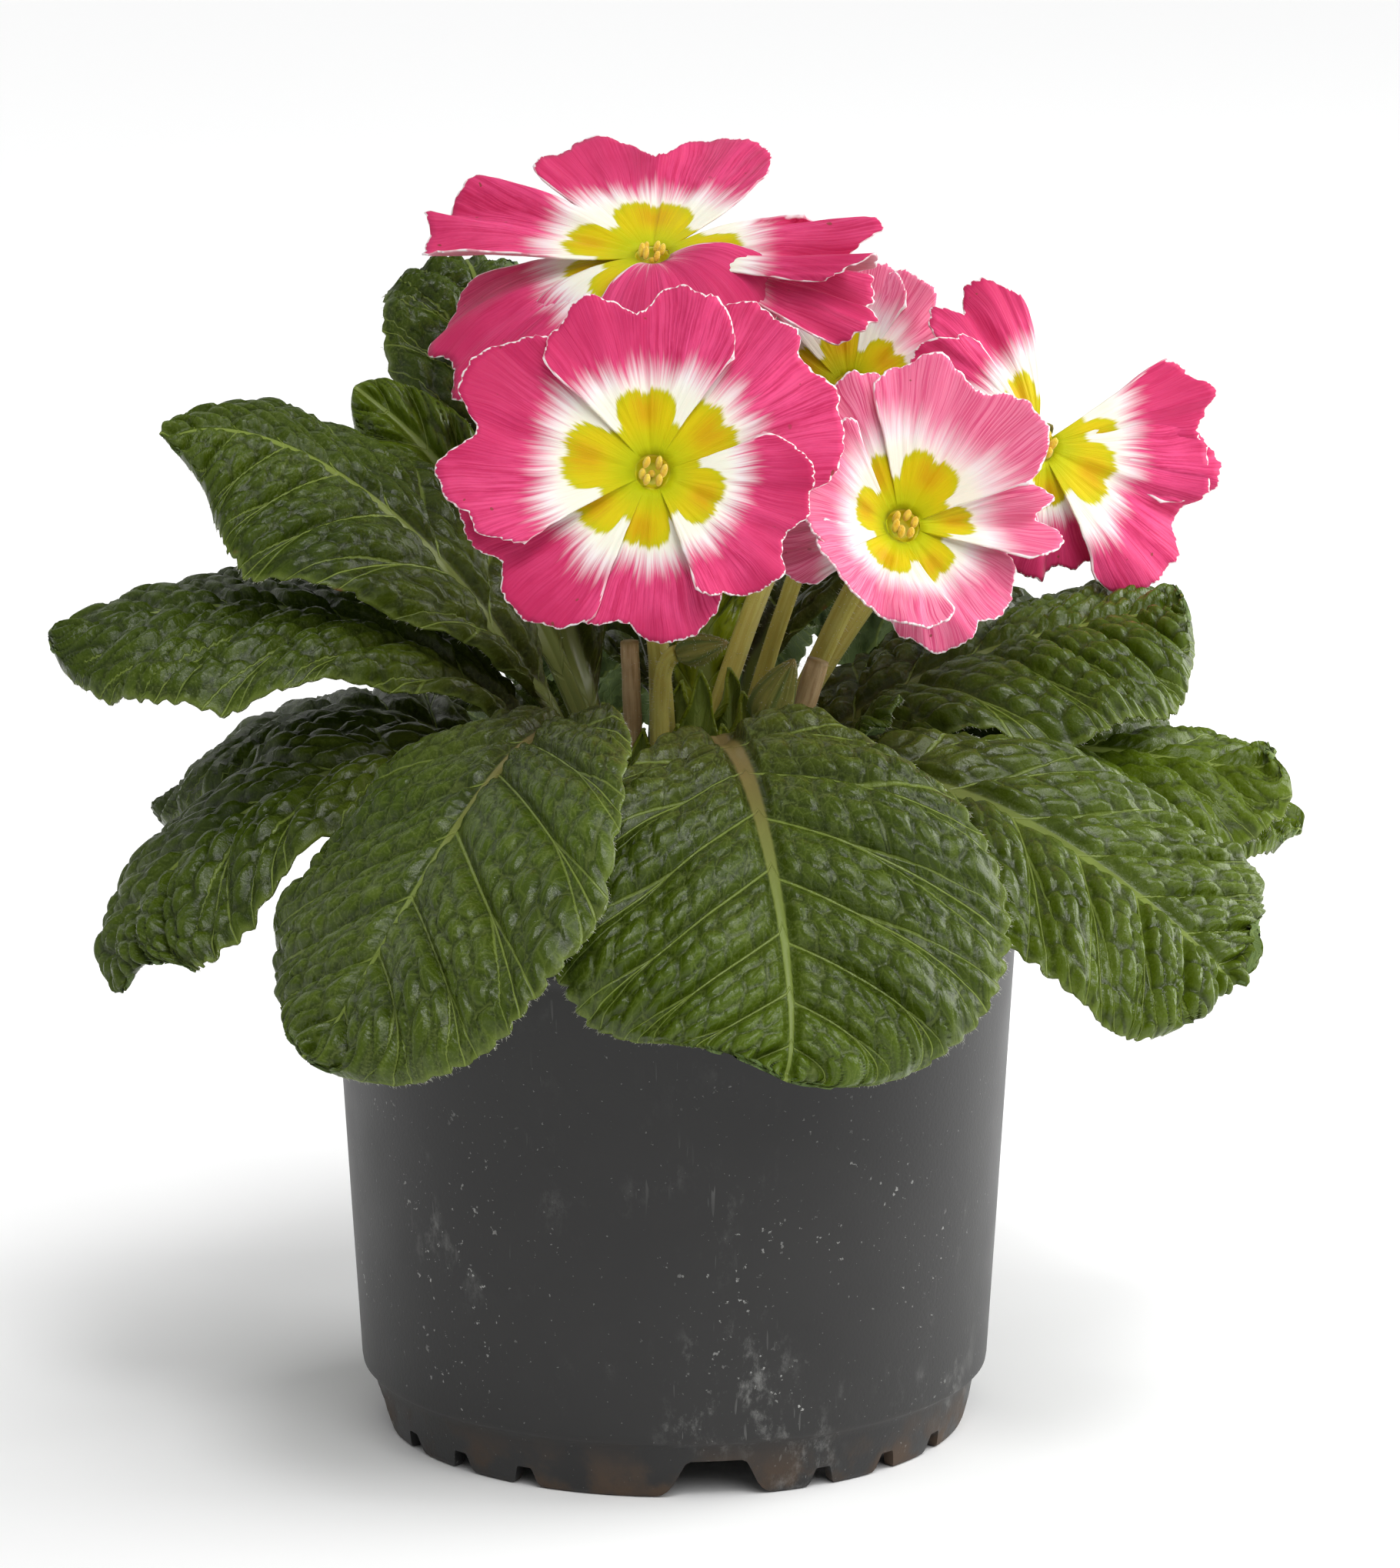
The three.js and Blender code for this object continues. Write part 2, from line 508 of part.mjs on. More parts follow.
// A point of a petal in the bloom's own frame, which looks along +Z: s runs outwards, q across.
function petalPoint(petal, s, q) {
  const [angle, span, reach, lift, curl, clockwise, other, wave, notch = USUAL_NOTCH] = petal;
  const u = Math.abs(q);
  const edge = reach * (1 - notch * Math.exp(-((q / 0.18) ** 2)) - 0.24 * u ** 3.2);
  const length = (edge - THROAT.radius) * s;
  const bend = curl * DEG + 1e-6;
  const start = lift * DEG;
  const turned = start + (bend * length) / (reach - THROAT.radius);
  const scale = (reach - THROAT.radius) / bend;
  const radius = THROAT.radius + scale * (Math.sin(turned) - Math.sin(start));
  const lap = (q < 0 ? clockwise : other) * u * s;
  const height = scale * (Math.cos(start) - Math.cos(turned)) + lap
    + 0.5 * wave * s * s * Math.sin(2.2 * Math.PI * q + angle);
  const turn = (angle + q * span * (0.6 + 0.4 * s)) * DEG;
  return new THREE.Vector3(radius * Math.cos(turn), radius * Math.sin(turn), height);
}

function corolla(bloom) {
  const { lip, tube, tubeLength, cup, cupDepth } = THROAT;
  const throat = lathe([
    [0, -tubeLength], [tube, -tubeLength], [tube, -3.4], [lip, -0.5], [lip, 0.4],
    [cup, 0.4], [cup, -cupDepth], [0, -cupDepth],
  ], 8);
  const petals = bloom.petals.map((petal) => sheet(
    BLOOM_ROWS, BLOOM_COLUMNS, (s, q) => petalPoint(petal, s, q), () => PETAL_THICK,
  ));
  return toGeometry(join([throat, ...petals]));
}

// The eye: a little cushion in the throat with a ring of anthers.
function eye() {
  const { cup, cupDepth } = THROAT;
  const pad = cup - GAP;
  const foot = -cupDepth + GAP;
  const cushion = lathe([[0, foot], [pad, foot], [pad, foot + 1.1], [0, foot + 1.4]], 6);
  const anthers = [];
  for (let i = 0; i < 5; i += 1) {
    const turn = (i / 5) * 2 * Math.PI;
    const anther = new THREE.ConeGeometry(0.6, 2.4, 4).rotateX(Math.PI / 2).rotateY(0.25);
    anthers.push(anther.translate(pad * 0.62, 0, foot + 1.9).rotateZ(turn));
  }
  return toGeometry(join([cushion, ...anthers]));
}

// A ribbed cup with five teeth, its foot at height 0, open above a plain bore.
function calyx() {
  const { height, foot, belly, rim, wall, tooth, bore, floor } = CALYX;
  const sides = 10;
  const levels = [
    [0, 0], [foot, 0], [belly, 3], [rim, height],
    [rim - wall, height], [bore, floor], [0, floor],
  ];
  const cup = weld(lathe(levels, sides));
  const places = cup.attributes.position;
  for (let i = 0; i < places.count; i += 1) {
    const turn = Math.atan2(places.getY(i), places.getX(i));
    const between = Math.cos(5 * turn) < 0;
    if (between && places.getZ(i) > height - 1) places.setZ(i, height - tooth);
  }
  return cup;
}

function blossomFrame({ at, face }) {
  const out = vector(face).normalize();
  const across = UP.clone().cross(out).normalize();
  const upward = out.clone().cross(across);
  return new THREE.Matrix4().makeBasis(across, upward, out).setPosition(...at);
}

// A stalk's curve from its foot in the stock towards `rise`, and along `heading` to its end.
function stalkCurve(foot, rise, end, heading, reach) {
  const last = end.clone().addScaledVector(heading, -reach);
  return new THREE.CubicBezierCurve3(footPoint(foot), vector(rise), last, end);
}

function stalkOf(bloom) {
  const frame = blossomFrame(bloom);
  const heading = vector(bloom.face).normalize();
  const end = vector(bloom.at).addScaledVector(heading, -NECK);
  const [foot, rise, reach] = bloom.stalk;
  return { frame, curve: stalkCurve(foot, rise, end, heading, reach) };
}

function stalkWithCalyx(bloom) {
  const { frame, curve } = stalkOf(bloom);
  const stalk = rod(curve, STALK.radius, STALK.sides, STALK.steps);
  const cup = calyx().translate(0, 0, -NECK - 0.4).applyMatrix4(frame);
  return toGeometry(join([stalk, cup]));
}

// ---------------------------------------------------------------- buds and cut stalks

function budStalk(bud) {
  const heading = vector(bud.face).normalize();
  return stalkCurve(bud.foot, bud.rise, vector(bud.at), heading, 5);
}

function budBody(bud) {
  const { length, belly } = bud;
  const head = weld(lathe([
    [0, -0.6], [1.6, -0.4], [belly * 0.9, length * 0.2], [belly, length * 0.45],
    [belly * 0.72, length * 0.75], [0, length],
  ], 10));
  const places = head.attributes.position;
  for (let i = 0; i < places.count; i += 1) {
    const turn = Math.atan2(places.getY(i), places.getX(i));
    const rib = 1 + 0.09 * Math.sign(Math.cos(5 * turn));
    places.setXYZ(i, places.getX(i) * rib, places.getY(i) * rib, places.getZ(i));
  }
  head.applyMatrix4(blossomFrame(bud));
  return toGeometry(join([rod(budStalk(bud), BUD_STALK.radius, 6, BUD_STALK.steps), head]));
}

function stubCurve(stub) {
  const end = vector(stub.at);
  const heading = end.clone().sub(vector(stub.rise)).normalize();
  return stalkCurve(stub.foot, stub.rise, end, heading, 6);
}

// ---------------------------------------------------------------- the plant in its pot

function piece(name, geometry, finish) {
  const material = new THREE.MeshStandardMaterial({ ...FINISH[finish], metalness: 0 });
  const mesh = new THREE.Mesh(geometry, material);
  mesh.name = name;
  return mesh;
}

const HOLE_CORNER = 1 / Math.cos(Math.PI / SOCKET_SIDES); // from flats to corners
const leafHole = (slim = 1) => ((PETIOLE.rootHalf + 0.5) * slim + GAP) * HOLE_CORNER;
const stalkHole = (radius) => (radius + GAP) * HOLE_CORNER;

// A hole for the first straight length of what grows along `curve`, up to its point `next`.
function socketFor(curve, next, radius) {
  return socket(curve.v0, next.clone().sub(curve.v0).normalize(), radius);
}

function leafSocket(leaf) {
  const curve = midrib(leaf);
  return socketFor(curve, curve.getPoint(firstRow(leaf)), leafHole(leaf.slim));
}

function rodSocket(curve, steps, radius) {
  return socketFor(curve, curve.getPointAt(1 / steps), stalkHole(radius));
}

const sockets = [
  ...LEAVES.map(leafSocket),
  ...BLOOMS.map((bloom) => rodSocket(stalkOf(bloom).curve, STALK.steps, STALK.radius)),
  ...BUDS.map((bud) => rodSocket(budStalk(bud), BUD_STALK.steps, BUD_STALK.radius)),
  ...STUBS.map((stub) => rodSocket(stubCurve(stub), STUB_STEPS, stub.radius)),
];

const primrose = new THREE.Group();
primrose.add(piece('pot', pot(), 'pot'));
primrose.add(piece('soil', soil(), 'soil'));
primrose.add(piece('crown', crown(sockets), 'crown'));

for (const leaf of LEAVES) {
  primrose.add(piece(`leaf_${leaf.name}`, leafBody(leaf), leaf.young ? 'youngLeaf' : 'leaf'));
}

for (const bloom of BLOOMS) {
  const head = new THREE.Group();
  head.applyMatrix4(blossomFrame(bloom));
  head.add(piece(`bloom_${bloom.name}`, corolla(bloom), bloom.color));
  head.add(piece(`eye_${bloom.name}`, eye(), 'eye'));
  primrose.add(head);
  primrose.add(piece(`stalk_${bloom.name}`, stalkWithCalyx(bloom), 'stalk'));
}

for (const bud of BUDS) primrose.add(piece(bud.name, budBody(bud), 'bud'));

for (const stub of STUBS) {
  primrose.add(piece(stub.name, rod(stubCurve(stub), stub.radius, 7, STUB_STEPS), 'stub'));
}

export default primrose;
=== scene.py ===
"""Dresses a potted primrose: crinkled leaves, painted petals, hairy stalks, soil and pot."""
import math

import bmesh
import bpy
import numpy as np
from mathutils import Matrix, Vector


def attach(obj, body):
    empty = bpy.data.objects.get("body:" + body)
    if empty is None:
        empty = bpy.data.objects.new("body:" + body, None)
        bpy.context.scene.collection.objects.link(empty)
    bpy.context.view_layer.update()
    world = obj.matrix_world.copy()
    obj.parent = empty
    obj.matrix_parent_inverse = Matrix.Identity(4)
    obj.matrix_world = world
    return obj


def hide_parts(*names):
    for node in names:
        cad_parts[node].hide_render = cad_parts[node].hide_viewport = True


bl_info = {
    "name": "Potted primrose",
    "version": (1, 0, 0),
    "blender": (4, 5, 0),
    "location": "3D View > Sidebar > Primrose",
    "description": "Makes the leaves, blooms, stalks, soil and pot of a primrose",
    "category": "Object",
}

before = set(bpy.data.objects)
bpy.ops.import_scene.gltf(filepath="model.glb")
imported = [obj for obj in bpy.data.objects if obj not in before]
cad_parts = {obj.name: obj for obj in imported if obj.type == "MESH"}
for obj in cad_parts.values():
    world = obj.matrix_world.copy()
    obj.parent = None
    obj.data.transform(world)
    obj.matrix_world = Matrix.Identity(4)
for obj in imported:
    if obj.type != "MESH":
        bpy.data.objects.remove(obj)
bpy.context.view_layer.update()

MM = 0.001
BODY = "root"
NUMBER = "NodeSocketFloat"

# ------------------------------------------------------------------ shapes of the plant, mm

ROOT_HEIGHT = 80.0

# leaves: petiole and midrib (half widths), veins, the blade's relief, and the edge
PETIOLE_HALF, PETIOLE_ROOT_HALF, PETIOLE_THICK = 2.3, 1.7, 2.6
PETIOLE_ROWS = 0.1  # share of a leaf's rows that lie on its petiole
MIDRIB_FOOT, MIDRIB_TIP, MIDRIB_DEPTH = 1.8, 0.35, 0.9
RIB_FOOT, RIB_TIP = 1.6, 0.30  # half width of the midrib's own colour
VEIN_SWEEP, VEIN_LEAN, GROOVE_HALF = 0.16, 0.17, 0.9
FORK_START, FORK_SPREAD, FORK_HALF = 0.48, 0.52, 0.6
BLISTER, SWAY = 3.2, 0.8
TEETH_PER_VEIN, TOOTH_DEPTH, EDGE_UNEVEN = 2.9, 0.045, 0.03
EDGE_WAVE, EDGE_DROP, EDGE_FRILL = 1.5, 1.1, 0.5
BASE_FOLD = 20.0
LAST_ROW = 0.998  # share of the midrib that the rows cover
ARCHED = 1.15  # length of a midrib's curve for its straight length
COLUMN_CROWDING = 1.15  # columns of corners stand closer towards the edges

# blooms: throat, tube, petals, and the anthers and stigma in the eye
THROAT_RADIUS = 2.6
THROAT_OUTLINE = np.array([
    (1.5, -11), (1.7, -6), (2.1, -3), (2.7, -1.0), (3.0, -0.35), (2.8, -0.05), (2.4, -0.25),
    (2.1, -0.8), (1.6, -1.5), (0.02, -1.8)])
NECK = 13.5
USUAL_NOTCH, USUAL_FOOT = 0.08, 0.93
NOTCH_SPREAD, PETAL_ROUNDING = 0.18, 0.24
PETAL_VALLEY, VALLEY_WIDTH, PETAL_RIBS = 1.5, 0.15, 0.17
FOLDED_OVER, FOLDED_SHARE = -100.0, 0.45  # curl past which only this share of the paint shows
LONG_PETAL = 30.0  # the painted zones don't grow past this reach
ANTHERS, ANTHER_RING, ANTHER_RISE, ANTHER_SIZE = 6, 1.55, 0.65, (0.52, 0.62)
GROOVE_DEPTH, GROOVE_WIDTH = 0.22, 0.14
STIGMA_RADIUS, STIGMA_DEPTH = 0.55, 1.0

# stalks, cups, stock and soil
STALK_RADIUS, BUD_STALK_RADIUS = 1.6, 1.3
CUP_HEIGHT, CUP_FOOT, CUP_BELLY, CUP_RIM, CUP_TOOTH = 12.0, 1.8, 3.6, 4.0, 3.4
CUP_RIDGE, CUP_LINES, CUP_FLARE, CUP_WALL, CUP_SEAT = 0.30, 0.10, 0.9, 0.4, 0.4
BUD_TWIST = 0.4  # fifths of a turn
STOCK_RADIUS, STOCK_FOOT, STOCK_HEIGHT = 19.0, 74.5, 9.5
SOIL_RADIUS, SOIL_TOP, CRUMBS, CRUMB_RING = 49.4, 74.3, 420, 48
SOIL_OUTLINE = np.array([(0.01, 11), (46, 11), (46.4, 13), (SOIL_RADIUS, 73.2)])

# columns and rows of the sheets, and how close corners merge, in metres
PETAL_GRID, HEART_GRID, THROAT_GRID = (70, 21), (16, 30), (30, 36)
STALK_GRID, BUD_STALK_GRID, STUB_GRID = (22, 60), (18, 44), (20, 44)
CUP_GRID, BUD_GRID, STOCK_GRID = (60, 22), (90, 34), (110, 44)
SOIL_SIDE_GRID, SOIL_TOP_GRID = (120, 18), (120, 60)
SEAM, BUD_SEAM, SOIL_SEAM = 1e-6, 5e-5, 1e-4

# hairs: counts, for each mm of a leaf's width or for each piece, radii and thickness
EDGE_HAIRS, EDGE_HAIR_THICK = 8, 0.42
STALK_HAIRS, BUD_STALK_HAIRS, STUB_HAIRS, STALK_HAIR_THICK = 620, 260, 160, 0.6
CUP_HAIRS, BUD_HAIRS, CUP_HAIR_THICK = 260, 200, 0.55
HAIR_ROOT, HAIR_TIP = 0.055, 0.012

# shares of a petal's reach, and of the space between two side veins
STAR_CORE, STAR_LOBE = 0.27, 0.17
VEIN_WIDTHS = 0.034, 0.017

# fixed colours beside those of the settings
# the warm colour at a leaf's foot is partly the leaf's own tint, partly painted shade
LIT_GREEN, YOUNG_GREEN, SHADED_WARM_FOOT = (0.085, 0.150, 0.004), (0.26, 0.31, 0.008), (0.070, 0.056, 0.010)
BROWN_STEM, GREEN_STEM, RIB_GREEN = (0.185, 0.140, 0.045), (0.150, 0.180, 0.045), (0.045, 0.085, 0.012)
# the first colour of the next row is painted shade for the creases of the leaves
PAINTED_CREASE_SHADE, FROST, DRY_SPOT = (0.008, 0.014, 0.001), (0.17, 0.21, 0.06), (0.12, 0.055, 0.018)
DULL_HAIR, DRY_TIP, PALE_FLECK = (0.40, 0.42, 0.28), (0.20, 0.14, 0.04), (0.30, 0.24, 0.16)
PALE_BLUSH, LIME_WHITE, PALE_EDGE = (0.80, 0.235, 0.365), (0.78, 0.80, 0.25), (0.90, 0.84, 0.84)
BROWN_SPECK, POLLEN, PALE_POLLEN = (0.20, 0.05, 0.03), (0.86, 0.52, 0.02), (0.92, 0.68, 0.05)
WORN_PLASTIC, PALE_OLIVE, PALE_CUP = (0.0215, 0.021, 0.0205), (0.47, 0.43, 0.10), (0.28, 0.30, 0.055)
BUD_GREEN, BUD_OLIVE, DRY_BROWN = (0.115, 0.125, 0.018), (0.21, 0.20, 0.038), (0.30, 0.19, 0.08)
STOCK_GREEN, STOCK_BROWN = (0.13, 0.13, 0.035), (0.055, 0.040, 0.016)


def leaf(name, root, rise, arch, tip, width, **more):
    """One leaf: the four points of its midrib curve, its width and what differs from the usual.
    Its petiole is a share of the whole, cup, fold and roll are degrees, broad and blunt shape
    its outline, tone is how fresh its green is, and puffed how high its blisters stand."""
    usual = dict(petiole=0.2, veins=7, cup=30, fold=0, roll=0, broad=1.5, blunt=0.5, slim=1.0,
                 tone=0.0, rows=76, columns=48, young=False, puffed=1.0, netted=0.15, shine=0.2)
    midrib = np.array([[*root, ROOT_HEIGHT], rise, arch, tip], float)
    return {**usual, "name": name, "midrib": midrib, "width": width, **more}


LEAVES = [
    leaf("front_mid", (3.8, -15.5), (4, -15, 150), (21, -77, 84), (16, -77, 73), 66, petiole=0.24,
         veins=8, fold=5, roll=-8, blunt=0.6, broad=1.35, tone=0.22, rows=160, columns=116,
         puffed=0.95, netted=0.32, shine=0.24),
    leaf("front_left", (-8.9, -13.3), (-9, -15, 150), (-38, -64, 93), (-52, -67, 73), 67,
         petiole=0.24, veins=8, fold=3, roll=-10, blunt=0.6, tone=0.1, rows=160, columns=116,
         puffed=0.95, netted=0.32, shine=0.24),
    leaf("right_low", (11.9, -10.7), (20, -16, 134), (82, -50, 83), (81, -44, 79), 47,
         veins=8, cup=20, roll=-20, tone=0.75, rows=140, columns=96, puffed=1.3,
         shine=0.32),
    leaf("left_low", (-15, -5.4), (-26, -5, 134), (-95, -14, 84), (-82, -17, 71), 45,
         veins=7, fold=-5, roll=9, tone=0.1, rows=124, columns=84, puffed=1.2),
    leaf("left_mid", (-8.8, -4.7), (-26, -5, 134), (-67, -6, 132), (-93.5, 1, 121), 44,
         veins=8, fold=-8, roll=12, rows=124, columns=84, puffed=1.2),
    leaf("left_up", (-10, 0.9), (-20, 2, 135), (-62, 0, 161), (-76, -4, 152), 46,
         veins=8, cup=15, fold=-30, roll=26, broad=1.2, blunt=0.65, tone=0.1, rows=124, columns=84,
         puffed=1.2),
    leaf("top_left", (-8.2, 5.7), (-15, 20, 120), (-32, 44, 178), (-32, 50, 170), 34, cup=40),
    leaf("right_up", (9.8, 2.1), (18, 6, 122), (71, 8, 122), (77, 8, 125), 49, veins=8,
         fold=-8, roll=-14, broad=1.25, tone=0.55, rows=136, columns=96, puffed=1.4,
         shine=0.32),
    leaf("right_mid", (15.8, -2.8), (28, -4, 124), (87, -5, 97), (90, -6, 104), 32,
         cup=25, fold=-12, roll=-18, tone=0.8),
    leaf("right_far", (14.8, 6), (34, 10, 110), (84, 17, 92), (94.8, 11, 88), 34,
         fold=10, roll=-8, tone=0.95),
    leaf("right_back", (7.7, 6.4), (21, 19, 116), (58, 42, 116), (76, 54, 96), 38, roll=-4),
    leaf("back_right", (8.7, 13.4), (12, 28, 142), (32, 58, 134), (46, 74, 96), 44, fold=5, roll=6,
         tone=0.15),
    leaf("back_mid", (-0.8, 16), (-1, 28, 136), (-4, 66, 118), (-4, 81, 90), 50, fold=5, roll=5,
         tone=0.3),
    leaf("back_left", (-10.3, 12.3), (-20, 26, 120), (-46, 58, 102), (-54, 70, 78), 46, fold=5,
         roll=-6, tone=0.2),
    leaf("left_rear", (-15.5, 3.9), (-32, 13, 118), (-64, 26, 110), (-80, 32, 86), 32, roll=8),
    leaf("back_up", (-3.7, 9.3), (0, 20, 130), (4, 46, 160), (4, 62, 150), 32, roll=4, tone=0.1),
    leaf("small_light", (-5.1, 0.9), (-16, 10, 120), (-34, 22, 147), (-49, 29, 154), 16,
         petiole=0.3, veins=6, roll=50, slim=0.7, tone=0.8, rows=80, columns=36, young=True),
    leaf("young", (2.4, 9.7), (4, 13, 106), (5, 17, 124), (8, 18, 146), 13.4, petiole=0.25, veins=5,
         fold=8, roll=-40, slim=0.75, tone=1.7, rows=70, columns=32, young=True),
    leaf("inner_dark", (9.6, -3.2), (22, -9, 99), (28, -11, 111), (34, -13, 114), 9,
         petiole=0.3, veins=5, fold=10, roll=-10, slim=0.8, tone=0.2, rows=70, columns=32),
]

# foot on the stock, tip and width of the short young leaves in the heart of the plant
HEART = [
    ((-5, -8), (-8, -11, 103), 8), ((1, -7.5), (0.5, -10.5, 110), 7), ((0.5, -3), (4, -9.5, 118), 8),
    ((4, -6), (7.4, -10.5, 110), 9), ((-4, 2), (-7, -1, 112), 9), ((7, 1), (10.5, -1, 113), 9),
    ((2, 8), (1, 7, 113), 10), ((8, 6), (12, 5, 112), 9), ((-7, 7), (-11, 5, 110), 9),
    ((-3, -6), (-4.6, -9, 109), 8), ((6, 4), (8.5, 2, 116), 9),
]

# A petal holds its angle, half span (degrees), reach, lift and curl (degrees), the rise of its
# clockwise and other edge, its wave, and where they aren't the usual ones the depth of its
# notch and the width of its foot, as a share of its span.
BLOOMS = [
    {"name": "front", "slot": "rose_petal", "at": (-3, -34, 152.2), "face": (0.12, -0.92, 0.36),
     "stalk": ((-1.4, -5), (0.5, -6, 120), 16),
     "petals": [
         (94, 40, 27, 12, -14, 1.3, 1.3, 1.5, 0.12), (32, 40, 30, 10, -10, -1.3, -1.3, 1.5, 0.1),
         (-29, 44, 23.5, 10, -10, 1.3, 1.3, 1.4, 0.1),
         (-104, 42, 24.5, 4, -14, -1.3, -1.3, 1.5, 0.12),
         (-152, 37, 29, 6, -20, -1.3, 1.3, 1.5, 0.1),
         (166, 41, 30.5, 8, -10, -1.3, 1.3, 1.5, 0.1)]},
    {"name": "top", "slot": "rose_petal", "at": (-3.3, 10, 177.4), "face": (0, -0.42, 0.9),
     "stalk": ((-1.8, 4.9), (-2, 6, 112), 18),
     "petals": [
         (89, 44, 32, 5, -6, 1.3, 1.3, 1.4, 0.24, 1.15),
         (164, 22, 35, 5, -8, 1.3, 1.3, 5, 0.08, 1.6), (198, 33, 37, -2, -44, -1.3, -1.3, 3),
         (240, 40, 29, 8, -84, 1.3, -1.3, 1.5), (298, 62, 26, 34, -118, -1.3, 1.3, 1.2),
         (-1, 19, 33.5, 8, -10, 1.3, 1.3, 5, 0.08, 1.9),
         (-9, 20, 34.5, -3, -14, -1.3, -1.3, 3)]},
    {"name": "mid", "slot": "blush_petal", "at": (33.9, -14, 140.6), "face": (0.3, -0.82, 0.48),
     "stalk": ((3, -4.3), (15, -5, 103), 8),
     "petals": [
         (56, 46, 25.5, 26, -6, 1.3, 1.3, 1.5), (117, 38, 24.5, 24, -6, -1.3, -1.3, 1.5),
         (166, 38, 24, 42, -10, 1.3, -1.3, 1.2), (230, 44, 24, 32, 6, 1.3, 1.3, 1.4),
         (-60, 44, 20, 4, -10, -1.3, -1.3, 1.4), (0, 24, 24, 2, 0, 4, -3, 1),
         (180, 26, 20, -16, -6, -1.3, -1.3, 1)]},
    {"name": "back", "slot": "blush_petal", "at": (26.7, 22, 155), "face": (0.12, -0.84, 0.53),
     "stalk": ((0, 0), (6, -4, 122), 6),
     "petals": [
         (96, 42, 20.5, 20, -4, -1.2, 1.2, 1.5), (36, 42, 20.5, 15, -8, 1.2, 1.2, 1.5),
         (-20, 36, 20, 8, -6, 1.2, -1.2, 1.5), (-85, 36, 20, 8, -6, -1.2, -1.2, 1.5),
         (215, 36, 20, 8, -6, -1.2, 1.2, 1.5), (153, 38, 21, 14, -8, -1.2, 1.2, 1.5)]},
    {"name": "right", "slot": "rose_petal", "at": (55.6, 18, 147.1), "face": (0.5, -0.82, 0.27),
     "stalk": ((5.1, -0.5), (14.5, -4, 112), 8),
     "petals": [
         (-1, 27, 30, 8, 0, -1.2, 1.2, 2), (-32, 42, 29, 7, -4, 1.2, 1.2, 1.4, 0.12),
         (-84, 34, 20, -4, -8, -1.2, -1.2, 1.4), (205, 38, 22, 26, 20, -1.2, -1.2, 1.4),
         (158, 32, 28, 30, -46, 1.2, 1.2, 1.4), (118, 28, 28, 34, -64, -1.2, 1.2, 1.4)]},
]

# foot in the stock, the point the stalk rises towards, the bud's foot, where it points, length
# and belly; a stub has its end and its radius
BUDS = [
    ("bud_low", (-1.4, -10.2), (-1, -12, 104), (0.5, -12, 121), (0.85, -0.35, 0.25), 8.5, 2.7),
    ("bud_side", (3.2, -9.7), (8, -13, 96), (13, -14, 111), (0.4, -0.3, 0.85), 12, 3.6),
    ("bud_tall", (4.2, 4.2), (12, 4, 112), (20, 4, 134), (0.4, 0.1, 0.9), 13, 3.6),
]
STUBS = [
    ("stub_cut", (7.4, -8.2), (15, -12, 98), (21.5, -12, 120), 1.7),
    ("stub_old", (-5.4, -4.6), (-6, -7, 104), (-6.6, -8, 122), 1.4),
]

# ------------------------------------------------------------------ settings


def colour(name, description, value):
    return bpy.props.FloatVectorProperty(
        name=name, description=description, default=value, size=3, min=0, max=1, subtype="COLOR")


def amount(name, description, value, **limits):
    return bpy.props.FloatProperty(
        name=name, description=description, default=value, min=0, **limits)


def length(name, description, value):
    return amount(name, description, value, subtype="DISTANCE", unit="LENGTH")


class PotSettings(bpy.types.PropertyGroup):
    plastic: colour("Plastic", "Charcoal of the pot", (0.0130, 0.0126, 0.0124))
    chalk: colour("Chalk", "Pale scuffs and dried water marks", (0.42, 0.42, 0.40))
    mud: colour("Mud", "Brown dirt along the foot", (0.085, 0.052, 0.030))
    scuffs: amount("Scuffs", "How much of the wall is scuffed", 0.75, max=1)


class LeafSettings(bpy.types.PropertyGroup):
    dark: colour("Dark green", "Green of an old leaf", (0.017, 0.030, 0.002))
    fresh: colour("Fresh green", "Green of a young or lit leaf", (0.078, 0.120, 0.003))
    vein: colour("Vein", "Pale veins and midrib", (0.20, 0.26, 0.05))
    below: colour("Underside", "Grey-green underside", (0.145, 0.21, 0.075))
    pucker: length("Pucker", "Height of the small blisters", 0.00125)
    crease: length("Crease", "Depth of the side veins", 0.0009)
    thickness: length("Thickness", "Thickness of the blade", 0.00045)


class PetalSettings(bpy.types.PropertyGroup):
    rose: colour("Rose", "Outer half of the dark blooms", (0.75, 0.072, 0.218))
    rose_deep: colour("Deep rose", "Streaks in the dark blooms", (0.47, 0.018, 0.092))
    blush: colour("Blush", "Outer half of the light blooms", (0.74, 0.15, 0.28))
    blush_deep: colour("Deep blush", "Streaks in the light blooms", (0.62, 0.070, 0.185))
    white: colour("White", "Middle zone and edge", (0.84, 0.80, 0.79))
    yellow: colour("Yellow", "Star round the throat", (0.60, 0.48, 0.0))
    ochre: colour("Ochre", "Lines in the star", (0.55, 0.32, 0.0))
    throat: colour("Throat", "Green-yellow throat", (0.45, 0.47, 0.0))
    thickness: length("Thickness", "Thickness of a petal", 0.0003)


class StalkSettings(bpy.types.PropertyGroup):
    olive: colour("Olive", "Skin of the stalks", (0.38, 0.32, 0.050))
    calyx: colour("Calyx", "Green of the cups and buds", (0.155, 0.19, 0.030))
    cut: colour("Cut", "Dry cut stalks", (0.46, 0.33, 0.17))
    hair: colour("Hair", "Fine pale hairs", (0.72, 0.72, 0.62))
    hair_length: length("Hair length", "Length of the hairs", 0.0009)


class SoilSettings(bpy.types.PropertyGroup):
    earth: colour("Earth", "Damp potting soil", (0.028, 0.017, 0.010))
    crumb: colour("Crumb", "Lighter crumbs and fibres", (0.085, 0.052, 0.028))


class StageSettings(bpy.types.PropertyGroup):
    floor: colour("Floor", "Plain pale floor", (0.92, 0.92, 0.92))
    key: amount("Key light", "Strength of the main soft light", 2.35)
    sides: amount("Side lights", "Power of the soft side boxes", 4.0, unit="POWER")


# ------------------------------------------------------------------ numbers over arrays


def unit(vectors):
    return vectors / np.linalg.norm(vectors, axis=-1, keepdims=True)


def limited(value):
    return np.clip(value, 0, 1)


